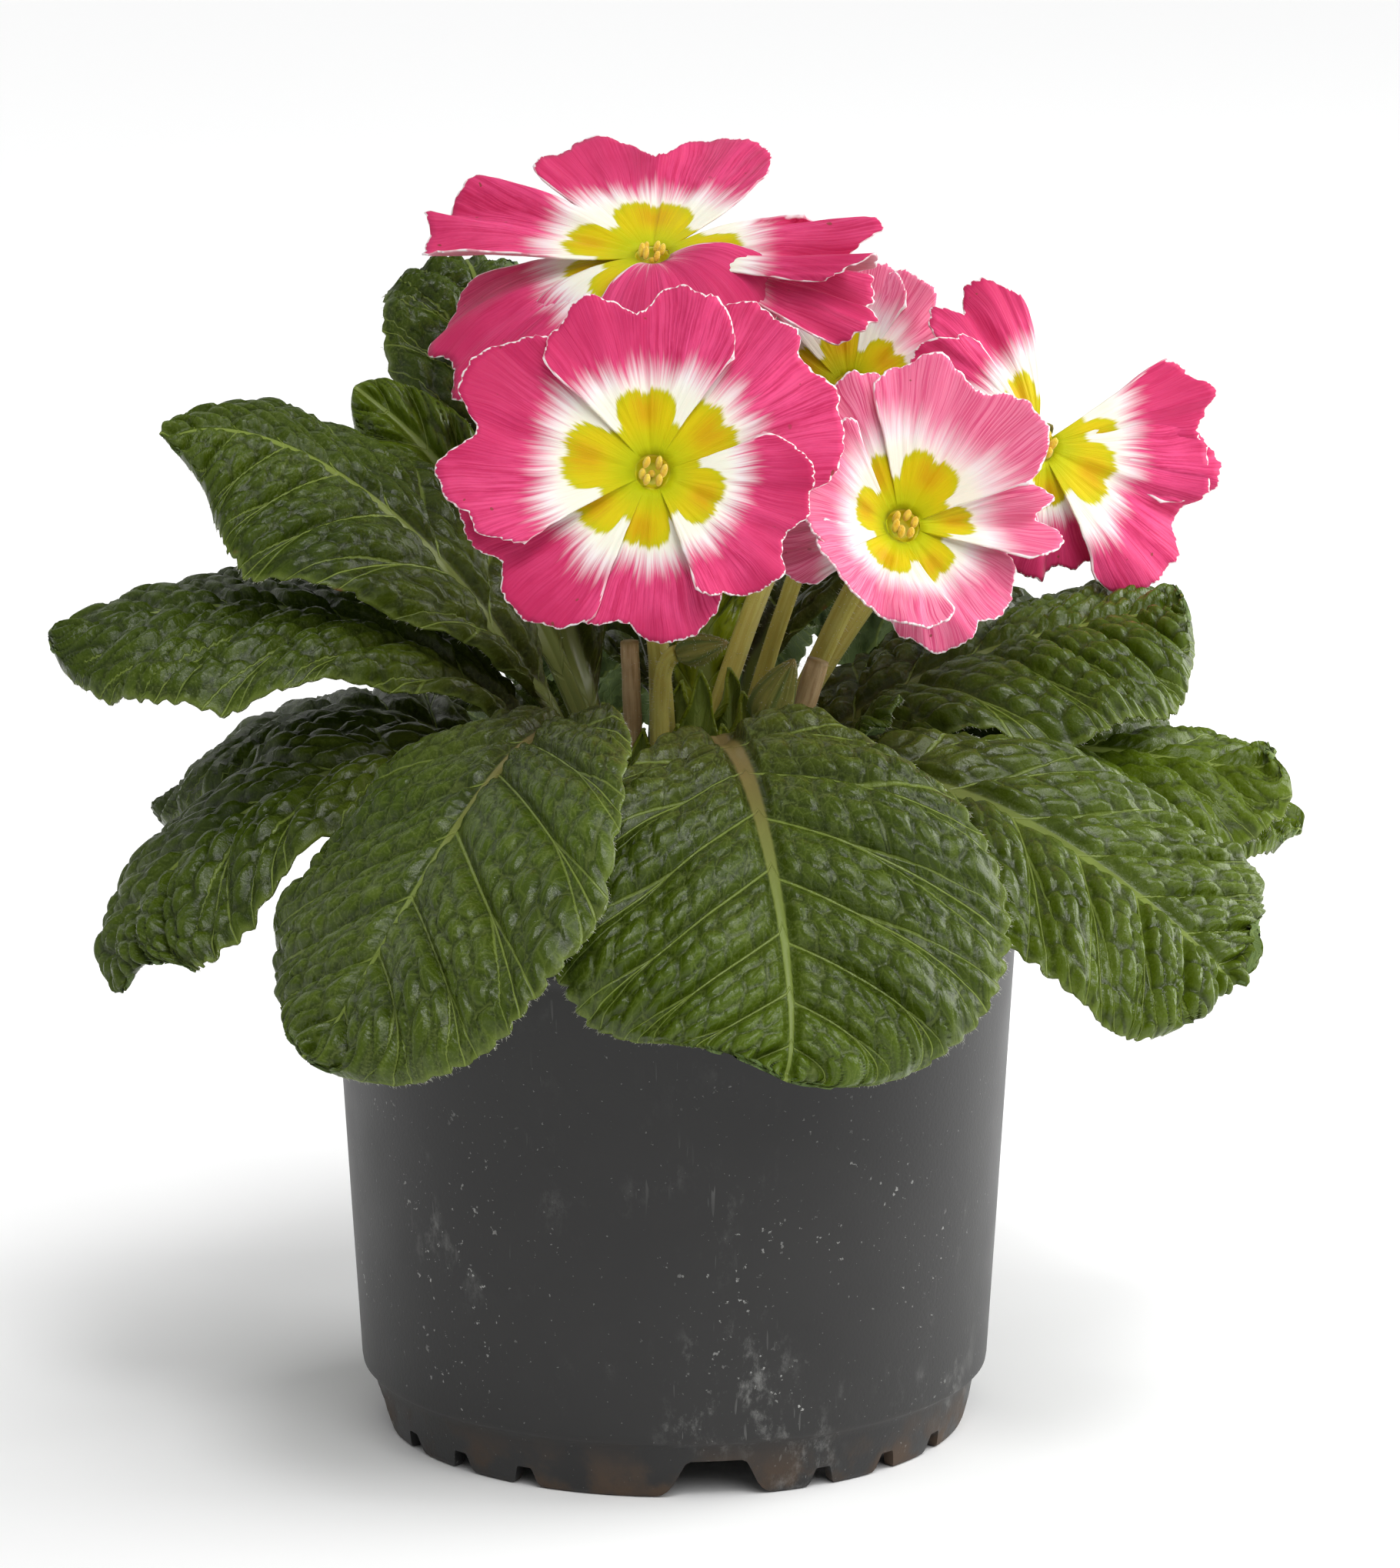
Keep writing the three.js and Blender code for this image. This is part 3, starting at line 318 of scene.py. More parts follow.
def ease(value, low, high):
    """0 at low, 1 at high, smooth between."""
    part = limited((value - low) / (high - low))
    return part * part * (3 - 2 * part)


def bell(value, width):
    """1 at 0, falling away smoothly on both sides."""
    return np.exp(-(value / width) ** 2)


def off_whole(value):
    """How far each value is from the nearest whole number."""
    return np.abs(value - np.round(value))


def in_fifths(turn, shift=0.0):
    """0 in the middle of each fifth of a turn, and 1 where two fifths meet."""
    return np.abs(((turn * 5 / (2 * math.pi) + shift) % 1) - 0.5) * 2


def table(*columns):
    """A row of numbers for each point."""
    return np.stack(columns, 1)


def scatter(i, j, seed):
    """A repeatable number from 0 to 1 for each pair of whole numbers."""
    wave = np.sin(i * 127.1 + j * 311.7 + seed * 74.7) * 43758.5453
    return wave - np.floor(wave)


def lumps(x, y, seed):
    """Smooth noise from -1 to 1 with bumps one unit apart."""
    i, j = np.floor(x), np.floor(y)
    u, v = x - i, y - j
    u, v = u * u * (3 - 2 * u), v * v * (3 - 2 * v)
    low = scatter(i, j, seed) * (1 - u) + scatter(i + 1, j, seed) * u
    high = scatter(i, j + 1, seed) * (1 - u) + scatter(i + 1, j + 1, seed) * u
    return 2 * (low * (1 - v) + high * v) - 1


def blisters(x, y, seed):
    """Cells one unit wide: how far inside its cell each point is, 0 on the lines between."""
    i, j = np.floor(x), np.floor(y)
    nearest = np.full(x.shape, 9.0)
    second = np.full(x.shape, 9.0)
    for di in (-1, 0, 1):
        for dj in (-1, 0, 1):
            a, b = i + di, j + dj
            cx = a + 0.5 + 0.62 * (scatter(a, b, seed) - 0.5)
            cy = b + 0.5 + 0.5 * (scatter(a, b, seed + 5) - 0.5)
            away = np.hypot(x - cx, y - cy)
            second = np.minimum(second, np.maximum(nearest, away))
            nearest = np.minimum(nearest, away)
    return second - nearest


def bezier(p, t):
    t = t[:, None]
    return ((1 - t) ** 3 * p[0] + 3 * (1 - t) ** 2 * t * p[1]
            + 3 * (1 - t) * t * t * p[2] + t ** 3 * p[3])


def bezier_slope(p, t):
    t = t[:, None]
    return (3 * (1 - t) ** 2 * (p[1] - p[0]) + 6 * (1 - t) * t * (p[2] - p[1])
            + 3 * t * t * (p[3] - p[2]))


# ------------------------------------------------------------------ meshes


def new_bmesh(marks=()):
    bm = bmesh.new()
    for mark in marks:
        bm.verts.layers.float_vector.new(mark)
    return bm


def add_sheet(bm, columns, rows, place):
    """Adds a grid whose corners `place` puts, in mm, from their two shares of it. `place` also
    gives the marks that the materials read."""
    made = bmesh.ops.create_grid(bm, x_segments=columns, y_segments=rows, size=0.5)["verts"]
    flat = np.array([corner.co[:2] for corner in made]) + 0.5
    points, marks = place(flat[:, 0], flat[:, 1])
    for corner, point in zip(made, points * MM):
        corner.co = point
    for mark, values in marks.items():
        layer = bm.verts.layers.float_vector[mark]
        for corner, value in zip(made, values):
            corner[layer] = value
    return made


def ring(radius, turn, height):
    """Points round the upright axis."""
    return table(radius * np.cos(turn), radius * np.sin(turn), height)


def add_round(bm, grid, place, seam=SEAM):
    """Adds a grid rolled round on itself: `place` takes turns (radians) and shares of height."""
    made = add_sheet(bm, *grid, lambda a, b: place(a * 2 * math.pi, b))
    bmesh.ops.remove_doubles(bm, verts=made, dist=seam)


def add_tube(bm, grid, place):
    """Adds a round grid with closed ends."""
    add_round(bm, grid, place)
    ends = [edge for edge in bm.edges if edge.is_boundary]
    bmesh.ops.holes_fill(bm, edges=ends, sides=0)


def flock(one, places):
    """A bmesh with a copy of the small shape that `one` adds to a bmesh at each matrix."""
    bm = bmesh.new()
    one(bm)
    shape = [corner.co.copy() for corner in bm.verts]
    size = len(shape)
    while len(bm.verts) < size * len(places):
        bmesh.ops.duplicate(bm, geom=bm.verts[:] + bm.edges[:] + bm.faces[:])
    bm.verts.ensure_lookup_table()
    bmesh.ops.delete(bm, geom=bm.verts[size * len(places):], context="VERTS")
    bm.verts.ensure_lookup_table()
    for k, matrix in enumerate(places):
        for i, co in enumerate(shape):
            bm.verts[k * size + i].co = matrix @ co
    return bm


def show(name, bm, materials=()):
    """Puts a bmesh in the scene as an object."""
    mesh = bpy.data.meshes.new(name)
    bm.to_mesh(mesh)
    bm.free()
    for material in materials:
        mesh.materials.append(material)
    shown = bpy.data.objects.new(name, mesh)
    bpy.context.scene.collection.objects.link(shown)
    return shown


def finish_piece(bm, name, materials, nodes, shell=0.0):
    """Turns a bmesh into a piece of the plant that stands for CAD nodes. With a shell it gets a
    thickness, and the second of two materials on the side below."""
    piece = show(name, bm, materials)
    piece.data.shade_smooth()
    if shell:
        wall = piece.modifiers.new("wall", "SOLIDIFY")
        wall.thickness = shell
        wall.offset = -1
        wall.material_offset = len(materials) - 1
        wall.material_offset_rim = 0
    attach(piece, BODY)
    if nodes:
        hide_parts(*nodes)
    return piece


# ------------------------------------------------------------------ material helpers


def arithmetic(operation, swapped=False):
    """An operator between a wire and another wire or a number, as a math node."""

    def combine(wire, other):
        pair = (other, wire) if swapped else (wire, other)
        return wire.wiring.math(operation, *pair)

    return combine


class Wire:
    """The outlet of a node. Sums and products of wires add math nodes."""

    def __init__(self, wiring, socket):
        self.wiring = wiring
        self.socket = socket

    def __abs__(self):
        return self.wiring.math("ABSOLUTE", self)

    __add__ = arithmetic("ADD")
    __sub__ = arithmetic("SUBTRACT")
    __rsub__ = arithmetic("SUBTRACT", swapped=True)
    __mul__ = arithmetic("MULTIPLY")
    __truediv__ = arithmetic("DIVIDE")
    __pow__ = arithmetic("POWER")
    __or__ = arithmetic("MAXIMUM")


class Wiring:
    """Adds nodes to a tree and gives back the wires from their outlets."""

    def __init__(self, tree):
        self.tree = tree

    def feed(self, socket, value):
        """Links a wire to a socket, or sets the socket to a number or colour."""
        if isinstance(value, Wire):
            self.tree.links.new(value.socket, socket)
        elif socket.type == "RGBA":
            socket.default_value = (*value[:3], 1.0)
        else:
            socket.default_value = value

    def add(self, kind, values=(), **settings):
        """Adds a node and gives its outlets."""
        made = self.tree.nodes.new(kind)
        for key, value in settings.items():
            setattr(made, key, value)
        for key, value in dict(values).items():
            self.feed(made.inputs[key], value)
        return [Wire(self, socket) for socket in made.outputs]

    def math(self, operation, a, b=0.0, clamp=False):
        return self.add("ShaderNodeMath", {0: a, 1: b}, operation=operation, use_clamp=clamp)[0]

    def step(self, value, low, high, to_low=0.0, to_high=1.0):
        """Smooth step from to_low at low to to_high at high."""
        return self.add("ShaderNodeMapRange", {"Value": value, "From Min": low, "From Max": high,
                                               "To Min": to_low, "To Max": to_high},
                        interpolation_type="SMOOTHSTEP")[0]

    def mix(self, factor, a, b):
        return self.add("ShaderNodeMix", {0: factor, 6: a, 7: b}, data_type="RGBA")[2]

    def split(self, vector):
        return self.add("ShaderNodeSeparateXYZ", {0: vector})

    def mark(self, name):
        """The three numbers of a piece's own attribute."""
        return self.split(self.add("ShaderNodeAttribute", attribute_name=name)[1])

    def vector(self, x=0.0, y=0.0, z=0.0):
        return self.add("ShaderNodeCombineXYZ", {0: x, 1: y, 2: z})[0]

    def place(self):
        return self.add("ShaderNodeTexCoord")[3]

    def stretched(self, vector, scale, turn=(0.0, 0.0, 0.0)):
        return self.add("ShaderNodeMapping", {"Vector": vector, "Scale": scale, "Rotation": turn})[0]

    def noise(self, vector, scale, detail=3.0, roughness=0.55):
        return self.add("ShaderNodeTexNoise", {"Vector": vector, "Scale": scale, "Detail": detail,
                                               "Roughness": roughness})[0]

    def spots(self, vector, scale, detail, low, high, *ends, rough=0.55):
        """A mask of soft patches: noise between two limits."""
        return self.step(self.noise(vector, scale, detail, rough), low, high, *ends)

    def cells(self, vector, scale, feature="F1"):
        return self.add("ShaderNodeTexVoronoi", {"Vector": vector, "Scale": scale},
                        feature=feature)[0]

    def group(self, name, inputs, wire_up):
        """Adds the shared group of that name, fed with inputs, and gives its outlets. The first
        time, wire_up makes a dictionary of the group's outlets from its inlets."""
        tree = bpy.data.node_groups.get(name)
        if tree is None:
            tree = bpy.data.node_groups.new(name, "ShaderNodeTree")
            inner = Wiring(tree)
            for label in inputs:
                tree.interface.new_socket(name=label, in_out="INPUT", socket_type=NUMBER)
            outlets = wire_up(inner, *inner.add("NodeGroupInput")[:len(inputs)])
            for label in outlets:
                tree.interface.new_socket(name=label, in_out="OUTPUT", socket_type=NUMBER)
            inner.add("NodeGroupOutput", outlets)
        return self.add("ShaderNodeGroup", inputs, node_tree=tree)

    def fine_skin(self, grain, patch):
        """A height for bump and a mask that varies from place to place."""
        return self.group("fine_skin", {"Grain": grain, "Patch": patch}, wire_fine_skin)

    def bump(self, height, strength, distance):
        return self.add("ShaderNodeBump", {"Height": height, "Strength": strength,
                                           "Distance": distance})[0]

    def shade(self, base, roughness, normal=None, **constants):
        """Feeds the material's Principled shader, with constants set on its own sockets."""
        sockets = self.tree.nodes["Principled BSDF"].inputs
        for key, value in {"Base Color": base, "Roughness": roughness, **constants}.items():
            self.feed(sockets[key.replace("_", " ")], value)
        if normal is not None:
            self.feed(sockets["Normal"], normal)


def painter(paint):
    """Turns a function that wires up a material into one that makes it, once for each name."""

    def painted(name, *details):
        material = bpy.data.materials.get(name)
        if material is None:
            material = bpy.data.materials.new(name)
            material.use_nodes = True
            paint(Wiring(material.node_tree), *details)
        return material

    return painted


def wire_fine_skin(w, grain, patch):
    place = w.place()
    height = w.noise(place, grain, 2.0) + w.cells(place, grain) * 0.6
    return {"Height": height, "Mask": w.noise(place, patch, 4.0)}


def wire_leaf_net(w, across, vein, along, out, cell, fork_up, fork_down):
    """Veins of a leaf from its marks: midrib, side veins with their forks, and the fine net."""
    rib = w.math("SUBTRACT", 1.0, along, clamp=True) ** 1.4 * RIB_FOOT + RIB_TIP
    width = w.step(out, 0.0, 1.0, *VEIN_WIDTHS)
    middle, upper, lower = [w.step(w.math("PINGPONG", line, 0.5) / width, 0.3, 1.1, 1.0, 0.0)
                            for line in (vein, fork_up, fork_down)]
    fine = w.cells(w.vector(across * 0.55, vein * 4.6), 1.0, "DISTANCE_TO_EDGE")
    return {"Midrib": w.step(abs(across) / rib, 0.62, 1.1, 1.0, 0.0),
            "Side veins": middle | (upper | lower) * 0.7,
            "Net": w.step(cell, 0.02, 0.11, 0.9, 0.0) | w.step(fine, 0.01, 0.07, 0.45, 0.0),
            "Cells": w.step(fine, 0.0, 0.42)}


# ------------------------------------------------------------------ leaf


@painter
def leaf_material(w, settings, row, lower):
    """Top or underside of a leaf. Its tone runs from old dark green to fresh green, netted is
    how much of the pale net of small veins shows, and shine how strongly it reflects."""
    tone, netted = row["tone"], row["netted"]
    across, vein, along = w.mark("blade")
    dome, cell, out = w.mark("relief")
    fork_up, fork_down, leafy = w.mark("forks")
    midrib, side, net, cells = w.group("leaf_net", {
        "Across": across, "Vein": vein, "Share": along, "Out": out, "Cell": cell,
        "Fork up": fork_up, "Fork down": fork_down}, wire_leaf_net)
    grain, patch = w.fine_skin(3200.0, 55.0)
    # fresh green comes in patches and grows towards the tip; the growth towards the tip is partly the
    # leaf's own colour, partly painted light
    fresh = (w.step(patch, 0.35, 0.7, tone * 0.5, tone * 0.5 + 0.30)
             + w.step(along, 0.15, 1.0, -0.10, 0.10 + tone * 0.45))
    glow = w.spots(w.place(), 17.0, 1.0, 0.52, 0.72, 0.0, 0.25 + 0.45 * tone)
    green = w.mix(glow, w.mix(fresh, settings.dark, settings.fresh), LIT_GREEN)
    if tone > 1:
        green = w.mix(tone - 1, green, YOUNG_GREEN)
    # browner and darker towards the foot: partly the leaf's own brown tint, partly painted shade
    green = w.mix(w.step(along, 0.0, 0.5, 0.45, 0.0), green, SHADED_WARM_FOOT)
    stem = w.mix(w.step(along, 0.20, 0.66), BROWN_STEM if netted > 0.2 else GREEN_STEM,
                 settings.vein)
    if lower:
        base = w.mix(0.72 if tone <= 1 else 0.25, green, settings.below)
        lined = w.mix((side | midrib) * 0.7, base, stem)
        normal = w.bump((side | net) + grain * 0.4, 0.45, 0.0004)
        w.shade(w.mix(net * 0.35, lined, settings.vein), w.step(patch, 0.3, 0.7, 0.62, 0.78),
                normal, Specular_IOR_Level=0.2, Sheen_Weight=0.05)
        return
    # painted highlight: the tops of the blisters are mixed towards a lighter green
    lit_dome_tops = w.mix(dome * 0.40, green, w.mix(0.5, green, settings.fresh))
    # painted shade: dark creases between the blisters, but not beside the midrib
    flank = w.step(abs(across), 1.0, 3.4, 0.1, 1.0)
    low = w.step(dome, 0.0, 0.7, 1.0, 0.0) * (leafy * flank)
    skin = w.mix(low * (0.9 - 0.5 * netted), lit_dome_tops, PAINTED_CREASE_SHADE)
    skin = w.mix(net * netted, skin, settings.vein)
    frost = w.spots(w.place(), 2300.0, 2.0, 0.50, 0.66) * w.step(patch, 0.38, 0.62, 0.05, 0.26)
    skin = w.mix(frost * leafy, skin, FROST)
    skin = w.mix(side * leafy * 0.78, skin, settings.vein)
    skin = w.mix(midrib * 0.85, skin, stem)
    # pale rim with a few dry brown spots
    edge = w.step(out, 0.955, 1.0)
    skin = w.mix(edge * 0.35, skin, settings.vein)
    skin = w.mix(edge * w.spots(w.place(), 190.0, 2.0, 0.67, 0.73), skin, DRY_SPOT)
    height = (grain * 0.12 + cells * 0.40) * (1.0 - midrib) - side * 0.6
    gloss = w.step(patch * 0.6 + dome * -0.2, 0.1, 0.5, 0.27, 0.40)
    w.shade(skin, gloss, w.bump(height, 0.6, 0.0005), Specular_IOR_Level=row["shine"])


def leaf_materials(settings, row):
    """The materials of a leaf's top and underside, shared by leaves of the same looks."""
    looks = "_".join(str(round(row[key] * 100)) for key in ("tone", "netted", "shine"))
    return [leaf_material(f"leaf_{face}_{looks}", settings, row, face == "underside")
            for face in ("top", "underside")]


def leaf_place(row, settings, seed):
    """The points and marks of a leaf's upper face."""
    curve, petiole, veins = row["midrib"], row["petiole"], row["veins"]
    blade = 1 - petiole
    flat_reach = (curve[3] - curve[0]) * (1, 1, 0)
    flat = np.cross(unit(flat_reach), (0.0, 0.0, 1.0))
    spacing = np.linalg.norm(curve[3] - bezier(curve, np.array([petiole]))[0]) * ARCHED / veins
    panel_rows = max(1, round(spacing / BLISTER))

    def place(a, b):
        # q runs from -1 to 1 over the width, u from the midrib out, and m along the midrib
        q = 2 * a - 1
        q = np.sign(q) * (1 - (1 - np.abs(q)) ** COLUMN_CROWDING)
        m = np.where(b < PETIOLE_ROWS, petiole * b / PETIOLE_ROWS,
                     petiole + (LAST_ROW - petiole) * (b - PETIOLE_ROWS) / (1 - PETIOLE_ROWS))
        u = np.abs(q)
        vein = limited((m - petiole) / blade)
        t = m + VEIN_SWEEP * np.sin(math.pi * vein) * u * blade
        part = limited((t - petiole) / blade)
        along = unit(bezier_slope(curve, t))
        side = unit(flat - along * (along @ flat)[:, None])
        normal = np.cross(side, along)
        lean = math.radians(row["roll"])
        across = side * math.cos(lean) + normal * math.sin(lean)
        upward = normal * math.cos(lean) - side * math.sin(lean)
        # the half width is the blade's, or the petiole's where that is wider
        wide = row["width"] / 2 * np.abs(np.sin(math.pi * part ** row["broad"])) ** row["blunt"]
        grown = limited(t / petiole)
        stem = row["slim"] * (PETIOLE_ROOT_HALF + (PETIOLE_HALF - PETIOLE_ROOT_HALF) * grown)
        stem = stem * limited((1 - part) * 2)
        half = np.maximum(wide, stem)
        leafy = ease(wide, 1.5, 6.0)
        rib_half = MIDRIB_FOOT * row["slim"] * (1 - part) ** 1.2 + MIDRIB_TIP
        # round teeth along the edge, of uneven size
        phase = veins * TEETH_PER_VEIN * vein + 0.35 * lumps(vein * 9, np.sign(q), seed)
        tooth = np.abs(np.sin(math.pi * phase)) ** 0.5 - 0.7
        uneven = TOOTH_DEPTH * tooth + EDGE_UNEVEN * lumps(vein * 5, q * 0 + 3, seed)
        half = half * (1 + leafy * u ** 8 * uneven)
        # across, the leaf is an arc that starts at its fold, with a rippled edge
        start = np.radians(row["fold"] * part + BASE_FOLD * (1 - part) ** 3)
        bend = np.radians(row["cup"] * np.sqrt(part)) + 1e-6
        out = (np.sin(start) - np.sin(start - bend * u)) / bend
        rise = (np.cos(start - bend * u) - np.cos(start)) / bend
        wave = np.sin(6 * math.pi * part + np.where(q > 0, 1.7, 0.0))
        ripple = EDGE_WAVE * u * u * wave * np.sin(math.pi * part)
        # quilting: broad swells between side veins, blisters on them
        lean_out = VEIN_LEAN * u * (0.1 + 0.9 * vein)
        beat = veins * (vein - lean_out) + 0.16 * lumps(vein * 5, np.sign(q), seed + 9)
        swell = (0.5 - 0.5 * np.cos(2 * math.pi * beat)) ** 0.7
        inner = np.abs(np.sin(math.pi * limited(u))) ** 0.35
        x = u * half / (1.25 * BLISTER) + 40.0 * (q > 0)
        cell = blisters(x + 0.25 * lumps(x * 1.5, beat * 3, seed + 1),
                        beat * panel_rows + 0.2 * lumps(x * 2, beat * 2, seed), seed)
        # each side vein forks on its way to the edge
        forked = u - FORK_START - 0.22 * lumps(beat * 1.3, np.sign(q) * 3, seed + 6)
        fork = FORK_SPREAD * limited(forked)
        to_side = off_whole(beat) * spacing
        to_fork = np.minimum(off_whole(beat - fork), off_whole(beat + fork)) * spacing
        rib = ease(u * half, rib_half + 1.0, rib_half)
        dome = (1 - (1 - limited(cell / 0.66)) ** 2.2) * (1 - rib)
        groove = bell(to_side, GROOVE_HALF) * (1 - 0.4 * u) + 0.5 * bell(to_fork, FORK_HALF)
        groove = groove * (1 - rib)
        edge_fade = 1 - 0.5 * ease(u, 0.9, 1.0)
        ripe = 0.55 + 0.45 * ease(u + 0.5 * part, 0.25, 0.9)
        varied = 0.85 + 0.4 * lumps(x / 1.7, beat * 1.6, seed + 4)
        tall = settings.pucker / MM * row["puffed"] * ripe * varied
        quilt = (tall * dome * edge_fade * ease(np.minimum(to_side, to_fork + 0.4), 0.1, 1.6)
                 + swell * inner * (1 - rib) - settings.crease / MM * 0.6 * groove)
        sway = SWAY * lumps(u * half / 9 + (q > 0) * 7, beat * 0.9, seed + 2) * ease(u, 0.05, 0.5)
        frill = EDGE_FRILL * ease(u, 0.8, 1.0) * lumps(vein * 16, q * 2, seed)
        hem = -EDGE_DROP * ease(u, 0.88, 1.0) + frill
        channel = MIDRIB_DEPTH * rib * leafy * (1 - 0.4 * part)
        relief = leafy * (quilt + sway + hem) - channel
        # the petiole is a plump half round
        plump = (1 - leafy) * row["slim"] * PETIOLE_THICK * 0.5 * np.sqrt(limited(1 - u * u))
        points = bezier(curve, t) + across * (np.sign(q) * out * half)[:, None]
        points = points + upward * (rise * half + ripple + relief + plump)[:, None]
        marks = {"blade": table(q * half, beat, part),
                 "relief": table(dome * leafy, cell, u * leafy),
                 "forks": table(beat - fork, beat + fork, leafy)}
        return points, marks

    return place


def make_leaf(row, settings, seed):
    """One leaf with its petiole."""
    bm = new_bmesh(("blade", "relief", "forks"))
    add_sheet(bm, row["columns"], row["rows"], leaf_place(row, settings, seed))
    finish_piece(bm, f"blade_{row['name']}", leaf_materials(settings, row),
                 [f"leaf_{row['name']}"], settings.thickness)


def make_heart(settings):
    """The short young leaves between the stalks, in one piece."""
    bm = new_bmesh(("blade", "relief", "forks"))
    for number, (foot, tip, width) in enumerate(HEART):
        row = leaf("heart", foot, (*foot, 92), (*tip[:2], tip[2] - 8), tip, width, petiole=0.1,
                   veins=4, cup=50, fold=12, roll=8 * (number % 3 - 1), slim=0.5, broad=0.9,
                   blunt=0.9, tone=1.45)
        add_sheet(bm, *HEART_GRID, leaf_place(row, settings, number + 40))
    finish_piece(bm, "heart_leaflets", leaf_materials(settings, row), [],
                 settings.thickness)


def add_hair(bm):
    bmesh.ops.create_cone(bm, cap_ends=False, segments=3, radius1=HAIR_ROOT, radius2=HAIR_TIP,
                          depth=1.0, matrix=Matrix.Translation((0, 0, 0.5)))


def hair_matrix(root, heading, long, thick):
    """Stands a hair on `root`, pointing along `heading`. Lengths are in mm, and `thick` is a
    share of the full thickness."""
    turn = Vector(heading).to_track_quat("Z", "Y").to_matrix().to_4x4()
    size = Matrix.Diagonal((MM * thick, MM * thick, MM * long, 1.0))
    return Matrix.Translation(Vector(root) * MM) @ turn @ size


@painter
def hair_material(w, settings):
    """Pale hairs of uneven brightness."""
    w.shade(w.mix(w.noise(w.place(), 400.0), settings.hair, DULL_HAIR), 0.6, Sheen_Weight=0.3)


def make_leaf_hairs(settings, stalks):
    """Short pale hairs along the edges and the petioles of the leaves."""
    random = np.random.default_rng(11)
    places = []
    for seed, row in enumerate(LEAVES):
        place = leaf_place(row, settings, seed)
        count = int(row["width"] * EDGE_HAIRS)
        along = random.uniform(0.12, 1.0, count)
        edge = np.where(random.random(count) < 0.5, 0.0, 1.0)
        inward = np.where(edge > 0.5, 0.97, 0.03)
        roots, _ = place(edge, along)
        behind, _ = place(inward, along)
        for root, back in zip(roots, behind):
            heading = unit(root - back) + random.normal(0, 0.35, 3)
            long = stalks.hair_length / MM * random.uniform(0.3, 0.8)
            places.append(hair_matrix(root, heading, long, EDGE_HAIR_THICK))
    bm = flock(add_hair, places)
    finish_piece(bm, "leaf_edge_hairs", [hair_material("pale_hair", stalks)], [])


# ------------------------------------------------------------------ bloom


@painter
def petal_material(w, settings, light, back):
    """Painted petal: coloured outer half with streaks, white zone, yellow star and white edge."""
    out, across, number = w.mark("petal")
    degrees, edge, _ = w.mark("spread")
    main, deep = ((settings.blush, settings.blush_deep) if light
                  else (settings.rose, settings.rose_deep))
    side = abs(across)
    sway = w.noise(w.vector(across * 1.4, out * 2.0, number), 1.0, 1.0)
    swayed = degrees + (sway - 0.5) * 7.0

    def strands(turns, lengths, detail, roughness=0.55):
        """Streaks that run out from the throat."""
        return w.noise(w.vector(swayed * turns, out * lengths, number), 1.0, detail, roughness)

    streak = strands(0.62, 1.6, 3.0, 0.6)
    hairline = strands(1.9, 2.0, 2.0, 0.6)
    broad = strands(0.11, 1.1, 2.0)
    lined = hairline * 0.7 + streak * 0.4
    if light:
        outer = w.mix(w.step(lined, 0.46, 0.66), PALE_BLUSH, deep)
    else:
        mottled = lined + strands(0.30, 5.0, 4.0, 0.7) * 0.5
        pale_dots = w.step(strands(1.2, 16.0, 2.0), 0.60, 0.80, 0.0, 0.22)
        outer = w.mix(pale_dots, w.mix(w.step(mottled, 0.62, 1.0), main, deep), settings.blush)
    outer = w.mix(w.step(broad, 0.35, 0.7, 0.0, 0.30), outer, main)
    cloud = w.noise(w.vector(number, across * 0.8, out * 1.5), 1.0, 2.0)
    uneven = w.step(out, 0.66, 1.05, 0.0, 0.40) + w.step(cloud, 0.40, 0.64, 0.0, 0.75)
    outer = w.mix(uneven * (0.35 if light else 0.8), outer, deep)
    white = w.mix(w.step(streak, 0.5, 0.8, 0.0, 0.16), settings.white, main)
    limey = w.mix(w.step(out, 0.40, 0.55, 0.22, 0.0), white, LIME_WHITE)
    start = (w.step(side, 0.0, 1.0, 0.47 if light else 0.51, 0.55)
             + ((streak - 0.5) * 0.34 + (broad - 0.5) * 0.20))
    painted = w.mix(w.step(out - start, -0.10, 0.24 if light else 0.13), limey, outer)
    if back:
        core = w.step(out, 0.10, 0.24, 1.0, 0.0)
        faced = w.mix(core * 0.6, w.mix(0.30, painted, settings.white), settings.throat)
    else:
        # two-lobed patch of the star
        rounded = w.math("SUBTRACT", 1.0, (side / 0.74) ** 3.4, clamp=True) ** 0.5
        lobes = rounded * w.step(side, 0.0, 0.14, 0.84, 1.0)
        inside = lobes * STAR_LOBE + ((streak - 0.5) * 0.10 + STAR_CORE) - out
        gold = w.step(side * 1.2 + hairline * 0.5, 0.34, 0.84, 1.0, 0.0) * w.step(out, 0.16, 0.30)
        golden = w.mix(gold * 0.9, settings.yellow, settings.ochre)
        golden = w.mix(w.step(inside, 0.0, 0.10, 0.65, 0.0), golden, settings.throat)
        golden = w.mix(w.step(out, 0.08, 0.27, 1.0, 0.0), golden, settings.throat)
        faced = w.mix(w.step(inside, -0.014, 0.024), painted, golden)
    # the edge is white in short stretches
    beads = strands(0.75, 0.0, 1.0)
    rim = w.step(edge / w.step(beads, 0.36, 0.64, 0.10, 0.38), 0.5, 1.0, 1.0, 0.0)
    shown = rim * w.step(out, 0.5, 0.75) * w.step(beads, 0.38, 0.58, 0.30, 0.9)
    edged = w.mix(shown, faced, PALE_EDGE)
    speck = w.spots(w.place(), 620.0, 1.0, 0.755, 0.78)
    marked = w.mix(speck * w.step(out, 0.6, 0.8) * 0.8, edged, BROWN_SPECK)
    w.shade(marked, w.step(hairline, 0.3, 0.7, 0.46, 0.62),
            w.bump(streak + hairline * 0.5, 0.42, 0.00035), Specular_IOR_Level=0.12,
            Sheen_Weight=0.03, Subsurface_Weight=0.10, Subsurface_Scale=0.0012)


def blossom_frame(at, face):
    """A frame, in mm, at a point, with its third axis along `face` and its second upwards."""
    out = Vector(face).normalized()
    across = Vector((0, 0, 1)).cross(out).normalized()
    upward = out.cross(across)
    turn = Matrix((across, upward, out)).transposed().to_4x4()
    return Matrix.Translation(Vector(at)) @ turn


